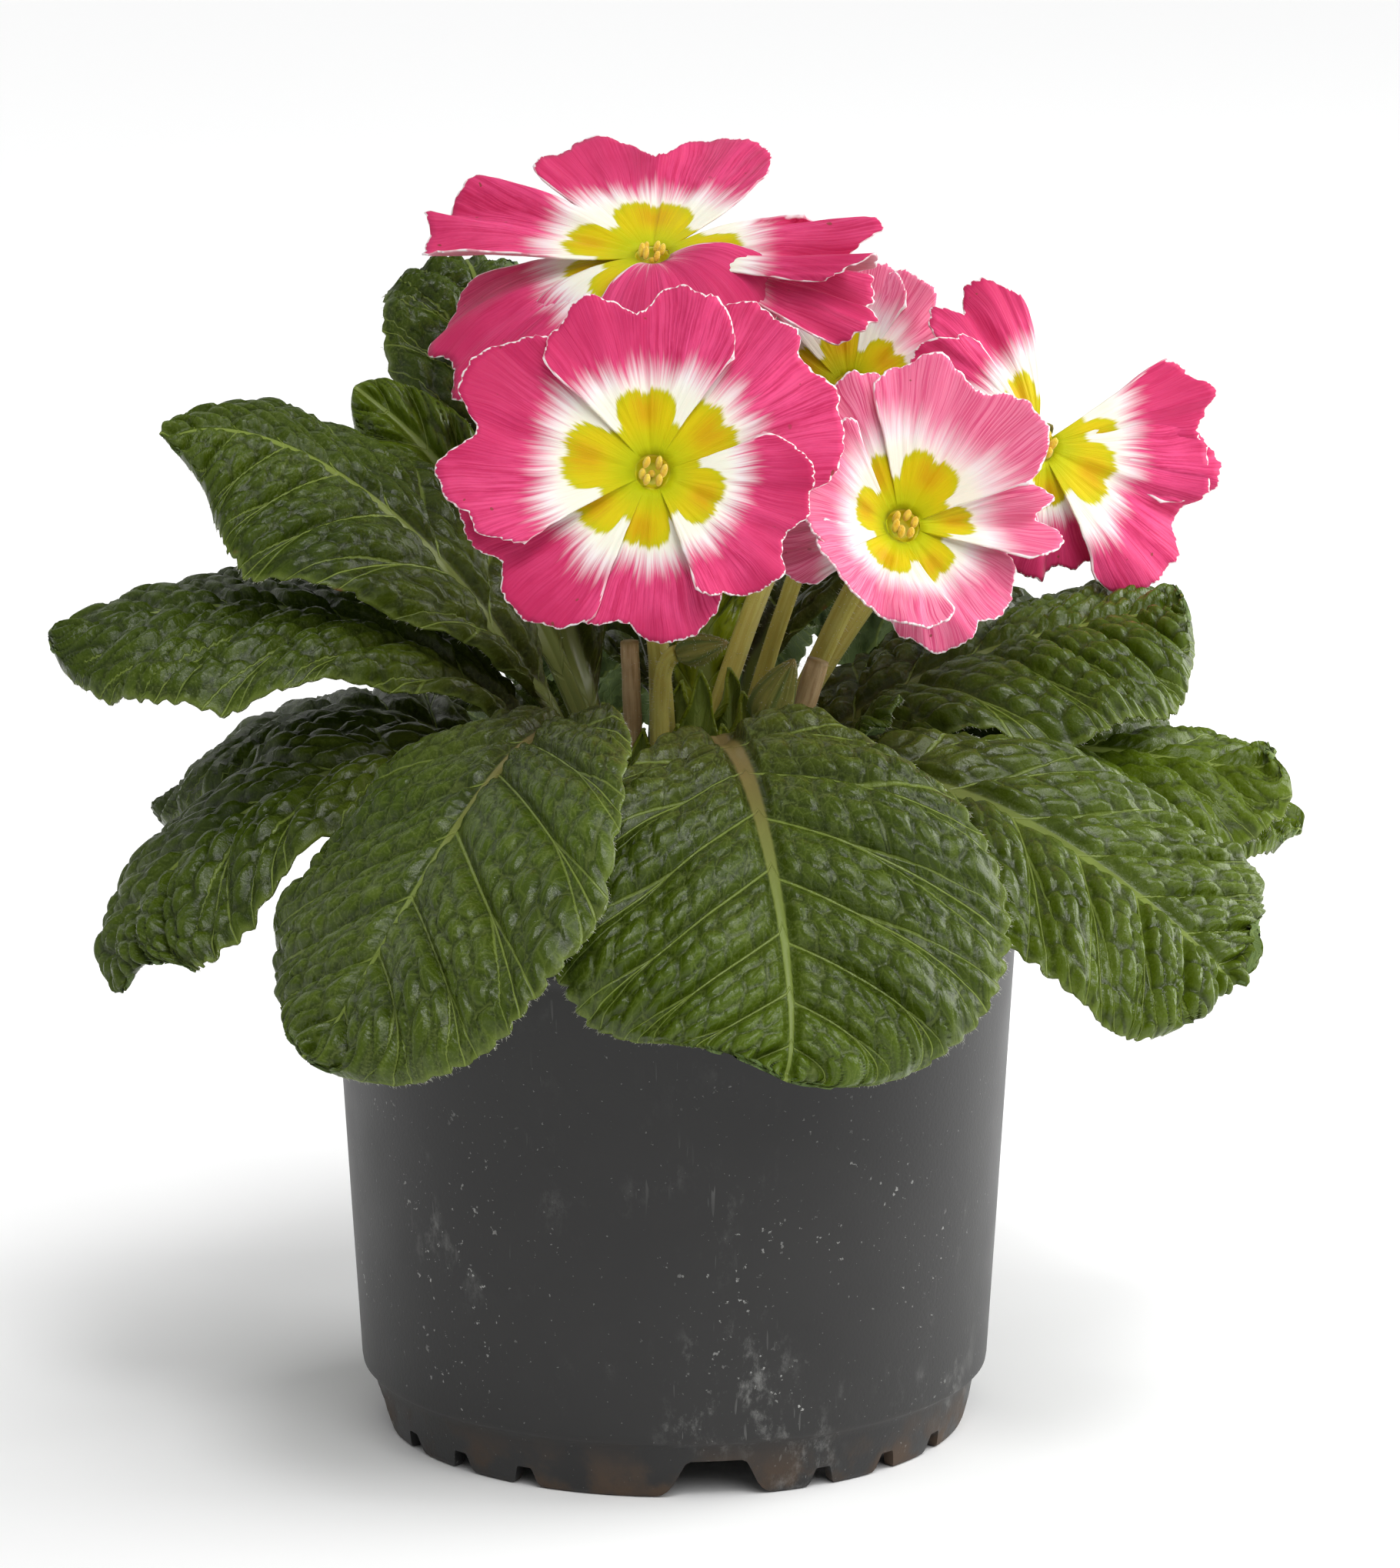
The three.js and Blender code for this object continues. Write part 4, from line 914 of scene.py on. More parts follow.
def carry(matrix, points):
    """Points in mm, carried by a matrix in mm."""
    rows = np.array(matrix)
    return points @ rows[:3, :3].T + rows[:3, 3]


def petal_place(petal, number, matrix):
    """The points and marks of a petal's face."""
    angle, span, reach, lift, curl, clockwise, other, wave = petal[:8]
    notch, foot = (*petal[8:], *(USUAL_NOTCH, USUAL_FOOT)[len(petal) - 8:])

    def place(a, b):
        # q runs from -1 to 1 over the width, u from the middle out, and s from throat to edge
        q = 1 - 2 * a
        s = b ** 0.9
        u = np.abs(q)
        ruffle = (0.034 * lumps(q * 3.1 + 5, q * 0, number) + 0.026 * lumps(q * 8, q * 0, number)
                  + 0.016 * np.abs(np.sin(q * 31 + 2 * lumps(q * 6, q * 0, number))) ** 0.7)
        nick = notch * bell(q, NOTCH_SPREAD)
        edge = reach * (1 - nick - PETAL_ROUNDING * u ** 3.2 + ruffle * s ** 3)
        # outwards, the petal is an arc that starts at its lift and ends past it by its curl
        long = (edge - THROAT_RADIUS) * s
        bend = math.radians(curl) + 1e-6
        start = math.radians(lift)
        turned = start + bend * long / (reach - THROAT_RADIUS)
        scale = (reach - THROAT_RADIUS) / bend
        radius = THROAT_RADIUS + scale * (np.sin(turned) - math.sin(start))
        lap = np.where(q < 0, clockwise, other) * u * s + 0.05 * number * (1 - s)
        frill = (0.5 * np.sin(q * 13 + number * 2.1) + 1.0 * lumps(q * 3.1, s * 2, number)) * s ** 3
        frill = frill + 0.5 * lumps(q * 2.6 + 9, s * 3, number) * s
        valley = -PETAL_VALLEY * bell(q, VALLEY_WIDTH) * s ** 0.8 * (1 - 0.65 * s)
        ribs = PETAL_RIBS * np.sin(q * 26 + 4 * lumps(q * 5, s * 2, number)) * s
        height = (scale * (math.cos(start) - np.cos(turned)) + lap + valley + frill + ribs
                  + 0.5 * wave * s * s * np.sin(2.2 * math.pi * q + angle))
        side_ruffle = 1 + 0.02 * lumps(s * 11, np.sign(q), number) * s
        degrees = q * span * (foot + (1.03 - foot) * s) * side_ruffle
        turn = np.radians(angle + degrees)
        rim = np.minimum((1 - s) * edge, (1 - u) * math.radians(span) * radius)
        # a petal folded over at its foot shows only the outer part of its pattern
        shown = FOLDED_SHARE if curl < FOLDED_OVER else 1.0
        painted = 1 - shown * (1 - s * edge / min(reach, LONG_PETAL) - (1 - s) * 0.06)
        marks = {"petal": table(painted, q, q * 0 + number * 3.7),
                 "spread": table(degrees, rim, s)}
        return carry(matrix, ring(radius, turn, height)), marks

    return place


def make_corolla(bloom, settings):
    """The lapping petals of one bloom."""
    bm = new_bmesh(("petal", "spread"))
    matrix = blossom_frame(bloom["at"], bloom["face"])
    for number, petal in enumerate(bloom["petals"]):
        add_sheet(bm, *PETAL_GRID, petal_place(petal, number + 1, matrix))
    light = bloom["slot"] == "blush_petal"
    name = "petal_blush" if light else "petal_rose"
    materials = [petal_material(name + face, settings, light, bool(face)) for face in ("", "_back")]
    finish_piece(bm, f"petals_{bloom['name']}", materials, [f"bloom_{bloom['name']}"],
                 settings.thickness)


def make_throat(bloom, settings):
    """The tube behind the petals and the funnel that they open from."""
    matrix = blossom_frame(bloom["at"], bloom["face"])
    heights = np.linspace(0, 1, len(THROAT_OUTLINE))

    def place(turn, b):
        radius, height = (np.interp(b, heights, side) for side in THROAT_OUTLINE.T)
        return carry(matrix, ring(radius * (1 + 0.05 * np.cos(5 * turn)), turn, height)), {}

    bm = new_bmesh()
    add_tube(bm, THROAT_GRID, place)
    bmesh.ops.recalc_face_normals(bm, faces=bm.faces)
    finish_piece(bm, f"throat_{bloom['name']}", [throat_material("throat_skin", settings)], [])


@painter
def throat_material(w, settings):
    """Green-yellow, from patch to patch."""
    grain, patch = w.fine_skin(2600.0, 300.0)
    w.shade(w.mix(w.step(patch, 0.35, 0.65), settings.throat, settings.yellow), 0.5,
            w.bump(grain, 0.3, 0.0002), Subsurface_Weight=0.1, Subsurface_Scale=0.001)


def make_eye(bloom):
    """The stigma and a ring of anthers that stand in the throat."""
    matrix = blossom_frame(bloom["at"], bloom["face"])
    matrix.translation *= MM
    bm = bmesh.new()
    bmesh.ops.create_uvsphere(bm, u_segments=12, v_segments=8, radius=STIGMA_RADIUS * MM,
                              matrix=Matrix.Translation((0, 0, -STIGMA_DEPTH * MM)))
    width = GROOVE_WIDTH * MM
    random = np.random.default_rng(len(bloom["name"]) * 7)
    for i in range(ANTHERS):
        turn = math.radians(360 / ANTHERS * i + random.uniform(-9, 9))
        lean = Matrix.Rotation(random.uniform(0.1, 0.35), 4, "Y")
        spot = Vector((ANTHER_RING, 0, random.uniform(0.2, 1.3))) * MM
        # all of them lean the same way, upwards
        upright = Matrix.Rotation(-turn, 4, "Z") @ Matrix.Rotation(-ANTHER_RISE, 4, "X")
        place = Matrix.Rotation(turn, 4, "Z") @ Matrix.Translation(spot) @ upright @ lean
        size = Matrix.Diagonal((*ANTHER_SIZE, random.uniform(1.0, 1.3), 1))
        made = bmesh.ops.create_icosphere(bm, subdivisions=3, radius=MM, matrix=place @ size)
        groove = place.to_3x3() @ Vector((0, 1, 0))
        middle = place.translation
        for corner in made["verts"]:
            offset = (corner.co - middle).dot(groove)
            corner.co += (corner.co - middle) * -GROOVE_DEPTH * math.exp(-(offset / width) ** 2)
    bmesh.ops.transform(bm, matrix=matrix, verts=bm.verts)
    finish_piece(bm, f"anthers_{bloom['name']}", [anther_material("anther_pollen")],
                 [f"eye_{bloom['name']}"])


@painter
def anther_material(w):
    """Mealy yellow pollen."""
    grain, patch = w.fine_skin(6500.0, 700.0)
    w.shade(w.mix(w.step(patch, 0.35, 0.65), POLLEN, PALE_POLLEN), 0.72,
            w.bump(grain, 0.7, 0.00025), Sheen_Weight=0.3)


# ------------------------------------------------------------------ stalks, cups and buds


@painter
def skin_material(w, base_colour, other_colour, ribs=0.0):
    """Softly hairy plant skin with faint lengthwise lines."""
    turn, along, bare = w.mark("stem")
    grain, patch = w.fine_skin(3800.0, 160.0)
    lines = w.noise(w.vector(turn * 2.6, along * 0.08), 1.0)
    mixed = w.mix(w.step(lines * 0.6 + patch * 0.4, 0.38, 0.64), base_colour, other_colour)
    rib = w.step(w.math("COSINE", turn * 5.0), 0.55, 0.98, 0.0, ribs)
    tipped = w.mix(bare * 0.8, w.mix(rib, mixed, RIB_GREEN), DRY_TIP)
    w.shade(tipped, w.step(patch, 0.3, 0.7, 0.5, 0.66), w.bump(grain * 0.35 + lines, 0.4, 0.0003),
            Sheen_Weight=0.06, Specular_IOR_Level=0.3, Subsurface_Weight=0.08,
            Subsurface_Scale=0.001)


def rod_axes(curve, t):
    """Two directions across a curve at each t. They don't twist about it."""
    along = unit(bezier_slope(curve, t))
    hint = np.array([0.0, 1.0, 0.0]) if abs(along[:, 1]).mean() < 0.6 else np.array([1.0, 0.0, 0.0])
    across = unit(np.cross(along, hint))
    return across, np.cross(along, across)


def rod_place(curve, radius, seed, cut=0.0):
    """A stalk's skin along a curve. `cut` flattens its end."""
    span = np.linalg.norm(curve[3] - curve[0])

    def place(turn, b):
        t = limited((b - 0.02) / 0.96)
        across, upward = rod_axes(curve, t)
        swell = 1 + 0.05 * lumps(1.5 * np.cos(turn), t * 9, seed) + 0.16 * (1 - t) ** 6
        ends = np.where((b <= 0) | (b >= 1), 0.02, 1.0)
        full = radius * swell * ends
        offset = across * (full * np.cos(turn))[:, None] + upward * (full * np.sin(turn))[:, None]
        bare = ease(t, 0.95, 1.0) * cut + 0 * turn
        return bezier(curve, t) + offset, {"stem": table(turn, t * span, bare)}

    return place


def rod_hairs(curve, radius, count, long, random):
    """Matrices for hairs that stand out from a stalk."""
    t = random.uniform(0.02, 1.0, count)
    turn = random.uniform(0, 2 * math.pi, count)
    across, upward = rod_axes(curve, t)
    out = across * np.cos(turn)[:, None] + upward * np.sin(turn)[:, None]
    roots = bezier(curve, t) + out * radius * 0.97
    headings = out + random.normal(0, 0.25, (count, 3))
    sizes = random.uniform(0.3, 0.85, count)
    return [hair_matrix(root, heading, long * size, STALK_HAIR_THICK)
            for root, heading, size in zip(roots, headings, sizes)]


def stalk_curve(foot, rise, end, heading, reach):
    """The curve of a stalk that leaves the stock and ends along `heading`."""
    heading = np.array(Vector(heading).normalized())
    end = np.array(end, float)
    return np.array([(*foot, ROOT_HEIGHT), rise, end - heading * reach, end], float)


def bloom_curve(bloom):
    foot, rise, reach = bloom["stalk"]
    heading = Vector(bloom["face"]).normalized()
    end = Vector(bloom["at"]) - heading * NECK
    return stalk_curve(foot, rise, end, heading, reach)


def cup_place(matrix):
    """A ribbed cup with five pointed teeth, its foot at height 0."""

    def place(turn, b):
        point = in_fifths(turn)
        top = CUP_HEIGHT - CUP_TOOTH * point ** 1.3
        height = b * top
        rounded = np.sqrt(limited(b * 6))
        bulge = (CUP_BELLY - CUP_FOOT) * np.sin(limited(height / 7) * math.pi / 2)
        opening = (CUP_RIM - CUP_BELLY) * limited(height / CUP_HEIGHT)
        radius = (CUP_FOOT + bulge + opening) * rounded
        ridge = CUP_RIDGE * bell(point, 0.22) + CUP_LINES * np.cos(turn * 15)
        flare = CUP_FLARE * ease(height, CUP_HEIGHT - 3.5, CUP_HEIGHT)
        radius = radius + (ridge * ease(b, 0.08, 0.3) + flare) * ease(b, 0.0, 0.1)
        tip = ease(height, CUP_HEIGHT - 1.6, CUP_HEIGHT + 0.2)
        return carry(matrix, ring(radius, turn, height)), {"stem": table(turn, height, tip)}

    return place


def bud_place(matrix, long, belly):
    """A closed bud whose five folded sepals meet at its point."""

    def place(turn, b):
        height = b * long
        body = np.sin(math.pi * limited(b) ** 0.70) ** 0.75
        radius = belly * body * (1 - 0.30 * b)
        fold = in_fifths(turn, BUD_TWIST * b)
        keel = bell(1 - fold, 0.16) - 0.8 * bell(fold, 0.12)
        fine_ribs = 0.06 * np.cos(turn * 15) + 0.03 * np.cos(turn * 35 + 3 * b)
        radius = radius * (0.96 + 0.16 * keel + fine_ribs) + 0.03
        tip = ease(b, 0.85, 1.0)
        return carry(matrix, ring(radius, turn, height)), {"stem": table(turn, height, tip)}

    return place


def cup_hairs(place, count, long, random):
    """Matrices for hairs on a cup or bud."""
    turn = random.uniform(0, 2 * math.pi, count)
    b = random.uniform(0.1, 0.98, count)
    roots, _ = place(turn, b)
    middle, _ = place(turn + math.pi, b)
    headings = unit(roots - middle) + random.normal(0, 0.3, (count, 3))
    sizes = random.uniform(0.3, 0.8, count)
    return [hair_matrix(root, heading, long * size, CUP_HAIR_THICK)
            for root, heading, size in zip(roots, headings, sizes)]


def make_stalks(settings):
    """Stalks with their cups, buds, cut stubs, and the hairs on all of them."""
    random = np.random.default_rng(23)
    long = settings.hair_length / MM
    olive = skin_material("stalk_skin", settings.olive, PALE_OLIVE)
    green = skin_material("cup_skin", settings.calyx, PALE_CUP, 0.45)
    folded = skin_material("bud_skin", BUD_GREEN, BUD_OLIVE, 0.6)
    dry = skin_material("cut_skin", settings.cut, DRY_BROWN)
    hairs = []

    def make_rod(name, curve, radius, seed, grid, material, nodes, count, size, cut=0.0):
        """A stalk's skin as a piece, and `count` hairs on it."""
        bm = new_bmesh(("stem",))
        add_tube(bm, grid, rod_place(curve, radius, seed, cut))
        finish_piece(bm, name, [material], nodes)
        hairs.extend(rod_hairs(curve, radius, count, long * size, random))

    for number, bloom in enumerate(BLOOMS):
        name = bloom["name"]
        make_rod(f"stalk_skin_{name}", bloom_curve(bloom), STALK_RADIUS, number, STALK_GRID, olive,
                 [f"stalk_{name}"], STALK_HAIRS, 1.0)
        down = Matrix.Translation((0, 0, -NECK - CUP_SEAT))
        cup = cup_place(blossom_frame(bloom["at"], bloom["face"]) @ down)
        bm = new_bmesh(("stem",))
        add_round(bm, CUP_GRID, cup)
        finish_piece(bm, f"cup_{name}", [green], [], CUP_WALL * MM)
        hairs += cup_hairs(cup, CUP_HAIRS, long * 0.7, random)
    for number, (name, foot, rise, at, face, high, belly) in enumerate(BUDS):
        make_rod(f"{name}_stalk", stalk_curve(foot, rise, at, face, 5), BUD_STALK_RADIUS, number + 9,
                 BUD_STALK_GRID, olive, [], BUD_STALK_HAIRS, 0.8)
        bud = bud_place(blossom_frame(at, face), high, belly)
        bm = new_bmesh(("stem",))
        add_round(bm, BUD_GRID, bud, BUD_SEAM)
        bmesh.ops.recalc_face_normals(bm, faces=bm.faces)
        finish_piece(bm, f"{name}_sepals", [folded], [name])
        hairs += cup_hairs(bud, BUD_HAIRS, long * 0.7, random)
    for number, (name, foot, rise, at, radius) in enumerate(STUBS):
        curve = stalk_curve(foot, rise, at, Vector(at) - Vector(rise), 6)
        make_rod(f"{name}_skin", curve, radius, number + 15, STUB_GRID, dry, [name],
                 STUB_HAIRS, 0.7, cut=1.0)
    finish_piece(flock(add_hair, hairs), "stalk_hairs", [hair_material("pale_hair", settings)], [])


# ------------------------------------------------------------------ stock and soil


def make_stock():
    """The knobbly stock with old leaf bases round it."""

    def place(turn, b):
        radius = STOCK_RADIUS * np.sqrt(limited(1 - b)) + 0.01
        high = STOCK_FOOT + STOCK_HEIGHT * np.sin(limited(b) * math.pi / 2) ** 0.8
        knobs = 1.5 * lumps(turn * 4.5, b * 7, 3) + 0.7 * lumps(turn * 11, b * 16, 4)
        knobs = knobs * np.where(turn > 6.1, (2 * math.pi - turn) / 0.19, 1) * ease(turn, 0, 0.2)
        return ring(radius, turn, high + knobs), {"stem": table(turn, radius, 0 * b + 0.35)}

    bm = new_bmesh(("stem",))
    add_round(bm, STOCK_GRID, place)
    material = skin_material("stock_skin", STOCK_GREEN, STOCK_BROWN)
    finish_piece(bm, "stock", [material], ["crown"])


@painter
def soil_material(w, settings):
    """Dark earth with lighter crumbs and a few pale flecks."""
    grain, patch = w.fine_skin(1500.0, 140.0)
    base = w.mix(w.step(patch, 0.42, 0.62), settings.earth, settings.crumb)
    fleck = w.spots(w.place(), 900.0, 1.0, 0.70, 0.74, 0.0, 0.6)
    height = grain + w.cells(w.place(), 420.0) * 1.5
    w.shade(w.mix(fleck, base, PALE_FLECK), 0.88, w.bump(height, 0.8, 0.0008),
            Specular_IOR_Level=0.25)


def make_soil(settings):
    """The soil's rough top, its sides in the pot, and loose crumbs on it."""
    steps = np.linspace(0, 1, len(SOIL_OUTLINE))

    def side(turn, b):
        radius, high = (np.interp(b, steps, line) for line in SOIL_OUTLINE.T)
        return ring(radius, turn, high), {}

    def top(turn, b):
        radius = SOIL_RADIUS * (1 - b) + 0.01
        x, y = radius * np.cos(turn), radius * np.sin(turn)
        rough = 1.1 * lumps(x / 7, y / 7, 1) + 0.8 * lumps(x / 2.6, y / 2.6, 2) + 0.4 * lumps(x, y, 3)
        sunk = 1.1 * ease(radius, 45, SOIL_RADIUS)
        high = SOIL_TOP + rough * ease(SOIL_RADIUS - radius, 0, 3) - sunk
        return table(x, y, high), {}

    bm = new_bmesh()
    for grid, place in ((SOIL_SIDE_GRID, side), (SOIL_TOP_GRID, top)):
        add_sheet(bm, *grid, lambda a, b, place=place: place(a * 2 * math.pi, b))
    bmesh.ops.remove_doubles(bm, verts=bm.verts, dist=SOIL_SEAM)
    bmesh.ops.recalc_face_normals(bm, faces=bm.faces)
    material = soil_material("potting_soil", settings)
    finish_piece(bm, "soil_bed", [material], ["soil"])
    random = np.random.default_rng(5)
    places = []
    for _ in range(CRUMBS):
        radius = CRUMB_RING * math.sqrt(random.uniform(0.12, 1.0))
        turn = random.uniform(0, 2 * math.pi)
        spot = Vector((radius * math.cos(turn), radius * math.sin(turn), SOIL_TOP + 0.3)) * MM
        size = random.uniform(0.5, 1.7) * MM
        spin = Matrix.Rotation(random.uniform(0, 6), 4, Vector(random.normal(0, 1, 3)).normalized())
        shape = Matrix.Diagonal((size, size * random.uniform(0.5, 1), size * 0.6, 1))
        places.append(Matrix.Translation(spot) @ spin @ shape)
    crumbs = flock(lambda one: bmesh.ops.create_icosphere(one, subdivisions=1, radius=1.0), places)
    finish_piece(crumbs, "soil_crumbs", [material], [])


# ------------------------------------------------------------------ pot

POT_OUTLINE = [
    (0.0, 8.6), (44.1, 8.6), (42.6, 0.3), (42.9, 0.0), (43.8, 0.0), (44.3, 0.25), (44.6, 0.9),
    (45.3, 3.6), (46.0, 7.4), (46.25, 8.3), (47.4, 9.1), (47.75, 9.5), (47.9, 10.4), (49.2, 32.0),
    (50.6, 56.0), (51.9, 78.4), (52.05, 79.3), (52.4, 79.8), (52.5, 80.3), (52.5, 82.3),
    (52.3, 82.8), (51.8, 83.0), (51.3, 82.9), (51.0, 82.5), (50.6, 80.0), (46.4, 11.3),
    (45.3, 10.1), (0.0, 10.1),
]
NOTCH_FIRST, NOTCH_HALF_FOOT, NOTCH_HALF_TOP, NOTCH_HEIGHT = -82.0, 9.2, 4.4, 6.0
SLIT_STEPS, SLIT_HALF_FOOT, SLIT_HALF_TOP, SLIT_HEIGHT = (21.5, 37.0, 52.5), 2.8, 1.2, 3.2
GAP_INNER, GAP_DEPTH = 35, 14
# a gap's side: shares of its flare and of its height
GAP_SIDE = ((1.0, 0.0), (0.74, 0.07), (0.56, 0.18), (0.40, 0.35), (0.18, 0.72), (0.04, 0.93),
            (-0.12, 1.0))
HOLES, HOLE_RING, HOLE_RADIUS, HOLE_HEIGHT, HOLE_DEPTH = 6, 30, 4, 9.4, 6
POT_STEPS, HARD_ANGLE, LEAST_POT_FACES = 168, 50, 4000


@painter
def pot_material(w, settings):
    """Charcoal plastic with chalky smudges and flakes, and mud along its foot."""
    place = w.place()
    high = w.split(place)[2]
    cloud = w.noise(place, 26.0, 5.0)
    tone = w.mix(w.step(cloud, 0.35, 0.7), settings.plastic, WORN_PLASTIC)
    # faint chalky smudges, small flakes in clusters, dust and a few fine scratches
    tall = w.stretched(place, (1.0, 1.0, 0.6))
    where = w.spots(tall, 62.0, 3.0, 0.50, 0.72)
    lower = w.step(high, 0.030, 0.065, 1.0, 0.25)
    smear = w.spots(tall, 210.0, 6.0, 0.50, 0.72, rough=0.75)
    chalk = smear * where * lower * settings.scuffs
    flake = w.spots(place, 780.0, 3.0, 0.655, 0.70, rough=0.6)
    flakes = flake * w.spots(place, 47.0, 2.0, 0.53, 0.64) * lower
    dust = w.spots(place, 1500.0, 2.0, 0.715, 0.75)
    scratch = w.stretched(place, (1.0, 1.0, 0.08), (0.3, 0.2, 0.0))
    lines = w.spots(scratch, 1300.0, 1.0, 0.70, 0.73) * where
    marks = chalk * 0.55 | (flakes * 0.75 | dust * 0.30 | lines * 0.2)
    dirt = (w.step(high, 0.0, 0.011, 1.0, 0.0)
            * w.spots(place, 120.0, 4.0, 0.40, 0.62))
    muddy = w.mix(dirt * 0.75, w.mix(marks, tone, settings.chalk), settings.mud)
    grain, _ = w.fine_skin(1800.0, 50.0)
    height = grain * 0.12 + (dirt * 0.5 + cloud * 0.8)
    rough = w.math("ADD", w.step(cloud, 0.3, 0.7, 0.40, 0.52), (chalk + dirt) * 0.35, clamp=True)
    w.shade(muddy, rough, w.bump(height, 0.25, 0.0006), Specular_IOR_Level=0.4)


def add_gap(bm, half_foot, half_top, high, turn):
    """A cutter for one gap in the foot: a tapered flat outline pushed outwards."""
    flare = half_foot - half_top
    side = [(half_foot, -1.0)] + [(half_top + out * flare, up * high) for out, up in GAP_SIDE]
    outline = side + [(-x, z) for x, z in reversed(side)]
    corners = [bm.verts.new((GAP_INNER * MM, x * MM, z * MM)) for x, z in outline]
    face = bm.faces.new(corners)
    pushed = bmesh.ops.extrude_face_region(bm, geom=[face])["geom"]
    moved = [part for part in pushed if isinstance(part, bmesh.types.BMVert)]
    bmesh.ops.translate(bm, verts=moved, vec=(GAP_DEPTH * MM, 0, 0))
    bmesh.ops.rotate(bm, verts=corners + moved, matrix=Matrix.Rotation(turn, 3, "Z"))


def make_pot(settings):
    """The pot, turned from its outline, with the gaps and drain holes cut out."""
    bm = bmesh.new()
    corners = [bm.verts.new((r * MM, 0, z * MM)) for r, z in POT_OUTLINE]
    edges = [bm.edges.new(pair) for pair in zip(corners, corners[1:])]
    bmesh.ops.spin(bm, geom=corners + edges, cent=(0, 0, 0), axis=(0, 0, 1), angle=2 * math.pi,
                   steps=POT_STEPS, use_merge=True)
    bmesh.ops.remove_doubles(bm, verts=bm.verts, dist=SEAM)
    bmesh.ops.recalc_face_normals(bm, faces=bm.faces)
    pot = finish_piece(bm, "pot_shell", [pot_material("charcoal_plastic", settings)], ["pot"])
    cuts = bmesh.new()
    for quarter in range(4):
        turn = NOTCH_FIRST + quarter * 90
        add_gap(cuts, NOTCH_HALF_FOOT, NOTCH_HALF_TOP, NOTCH_HEIGHT, math.radians(turn))
        for step in SLIT_STEPS:
            add_gap(cuts, SLIT_HALF_FOOT, SLIT_HALF_TOP, SLIT_HEIGHT, math.radians(turn + step))
    for hole in range(HOLES):
        turn = hole * 2 * math.pi / HOLES
        spot = Vector((HOLE_RING * math.cos(turn), HOLE_RING * math.sin(turn), HOLE_HEIGHT)) * MM
        bmesh.ops.create_cone(cuts, cap_ends=True, segments=32, radius1=HOLE_RADIUS * MM,
                              radius2=HOLE_RADIUS * MM, depth=HOLE_DEPTH * MM,
                              matrix=Matrix.Translation(spot))
    bmesh.ops.recalc_face_normals(cuts, faces=cuts.faces)
    cutter = show("pot_gaps", cuts)
    cut = pot.modifiers.new("gaps", "BOOLEAN")
    cut.object = cutter
    cut.operation = "DIFFERENCE"
    cut.solver = "EXACT"
    bpy.context.view_layer.update()
    ready = pot.evaluated_get(bpy.context.evaluated_depsgraph_get())
    pot.data = bpy.data.meshes.new_from_object(ready)
    pot.modifiers.clear()
    pot.data.shade_smooth()
    bpy.data.objects.remove(cutter)
    pot.modifiers.new("hard_edges", "EDGE_SPLIT").split_angle = math.radians(HARD_ANGLE)
    if len(pot.data.polygons) < LEAST_POT_FACES:
        raise RuntimeError("the gaps in the pot's foot could not be cut")


# ------------------------------------------------------------------ stage

# where the light comes from, its share of the key light and its spread in degrees
SUNS = {"key": ((0.30, -0.55, 0.78), 0.76, 55), "sparkle": ((0.12, -0.48, 0.87), 0.24, 14),
        "back": ((-0.5, 0.62, 0.6), 0.16, 50)}
# place and size in metres, share of the side lights
BOXES = {"right_box": ((1.1, 0.3, 0.45), (1.0, 1.0), 4.0),
         "left_box": ((-1.15, -0.1, 0.5), (1.2, 1.0), 0.15)}
MIDDLE = Vector((0.0, 0.0, 0.11))
STUDIO_LIGHT = 0.355
FLOOR_HALF = 5.0
LENS, SENSOR = 168.69, 36.0
CAMERA_PLACE, CAMERA_DIP = (0.0039, -1.083, 0.3385), 12.5


def add_lamp(name, kind, power, turn):
    data = bpy.data.lights.new(name, kind)
    data.energy = power
    lamp = bpy.data.objects.new(name, data)
    lamp.rotation_euler = turn.to_euler()
    bpy.context.scene.collection.objects.link(lamp)
    return lamp


@painter
def floor_material(w, settings):
    w.shade(settings.floor, 0.9, Specular_IOR_Level=0.1)


def make_stage(settings):
    """The floor, the lights, the pale world and the camera."""
    bm = bmesh.new()
    bmesh.ops.create_grid(bm, x_segments=8, y_segments=8, size=FLOOR_HALF)
    floor = show("floor", bm, [floor_material("pale_floor", settings)])
    for name, (towards, part, spread) in SUNS.items():
        turn = Vector(towards).to_track_quat("Z", "Y")
        lamp = add_lamp(name, "SUN", settings.key * part, turn)
        lamp.data.angle = math.radians(spread)
    for name, (place, size, part) in BOXES.items():
        turn = (MIDDLE - Vector(place)).to_track_quat("-Z", "Y")
        lamp = add_lamp(name, "AREA", settings.sides * part, turn)
        lamp.location = place
        lamp.data.shape = "RECTANGLE"
        lamp.data.size, lamp.data.size_y = size
    world = bpy.data.worlds.new("studio")
    world.use_nodes = True
    background = world.node_tree.nodes["Background"].inputs
    background["Color"].default_value = (1, 1, 1, 1)
    background["Strength"].default_value = STUDIO_LIGHT
    scene = bpy.context.scene
    scene.world = world
    scene.view_settings.view_transform = "Standard"
    camera = bpy.data.objects.new("camera", bpy.data.cameras.new("camera"))
    camera.data.lens = LENS
    camera.data.sensor_width = SENSOR
    camera.location = CAMERA_PLACE
    camera.rotation_euler = (math.radians(90 - CAMERA_DIP), 0, 0)
    scene.collection.objects.link(camera)
    scene.camera = camera


# ------------------------------------------------------------------ operators and panel


class PRIMROSE_OT_pot(bpy.types.Operator):
    """Turns the pot and cuts the gaps in its foot"""

    bl_idname = "primrose.pot"
    bl_label = "Make pot"

    def execute(self, context):
        make_pot(context.scene.primrose_pot)
        return {"FINISHED"}


class PRIMROSE_OT_soil(bpy.types.Operator):
    """Fills the pot with soil and sets the stock in it"""

    bl_idname = "primrose.soil"
    bl_label = "Make soil and stock"

    def execute(self, context):
        make_soil(context.scene.primrose_soil)
        make_stock()
        return {"FINISHED"}


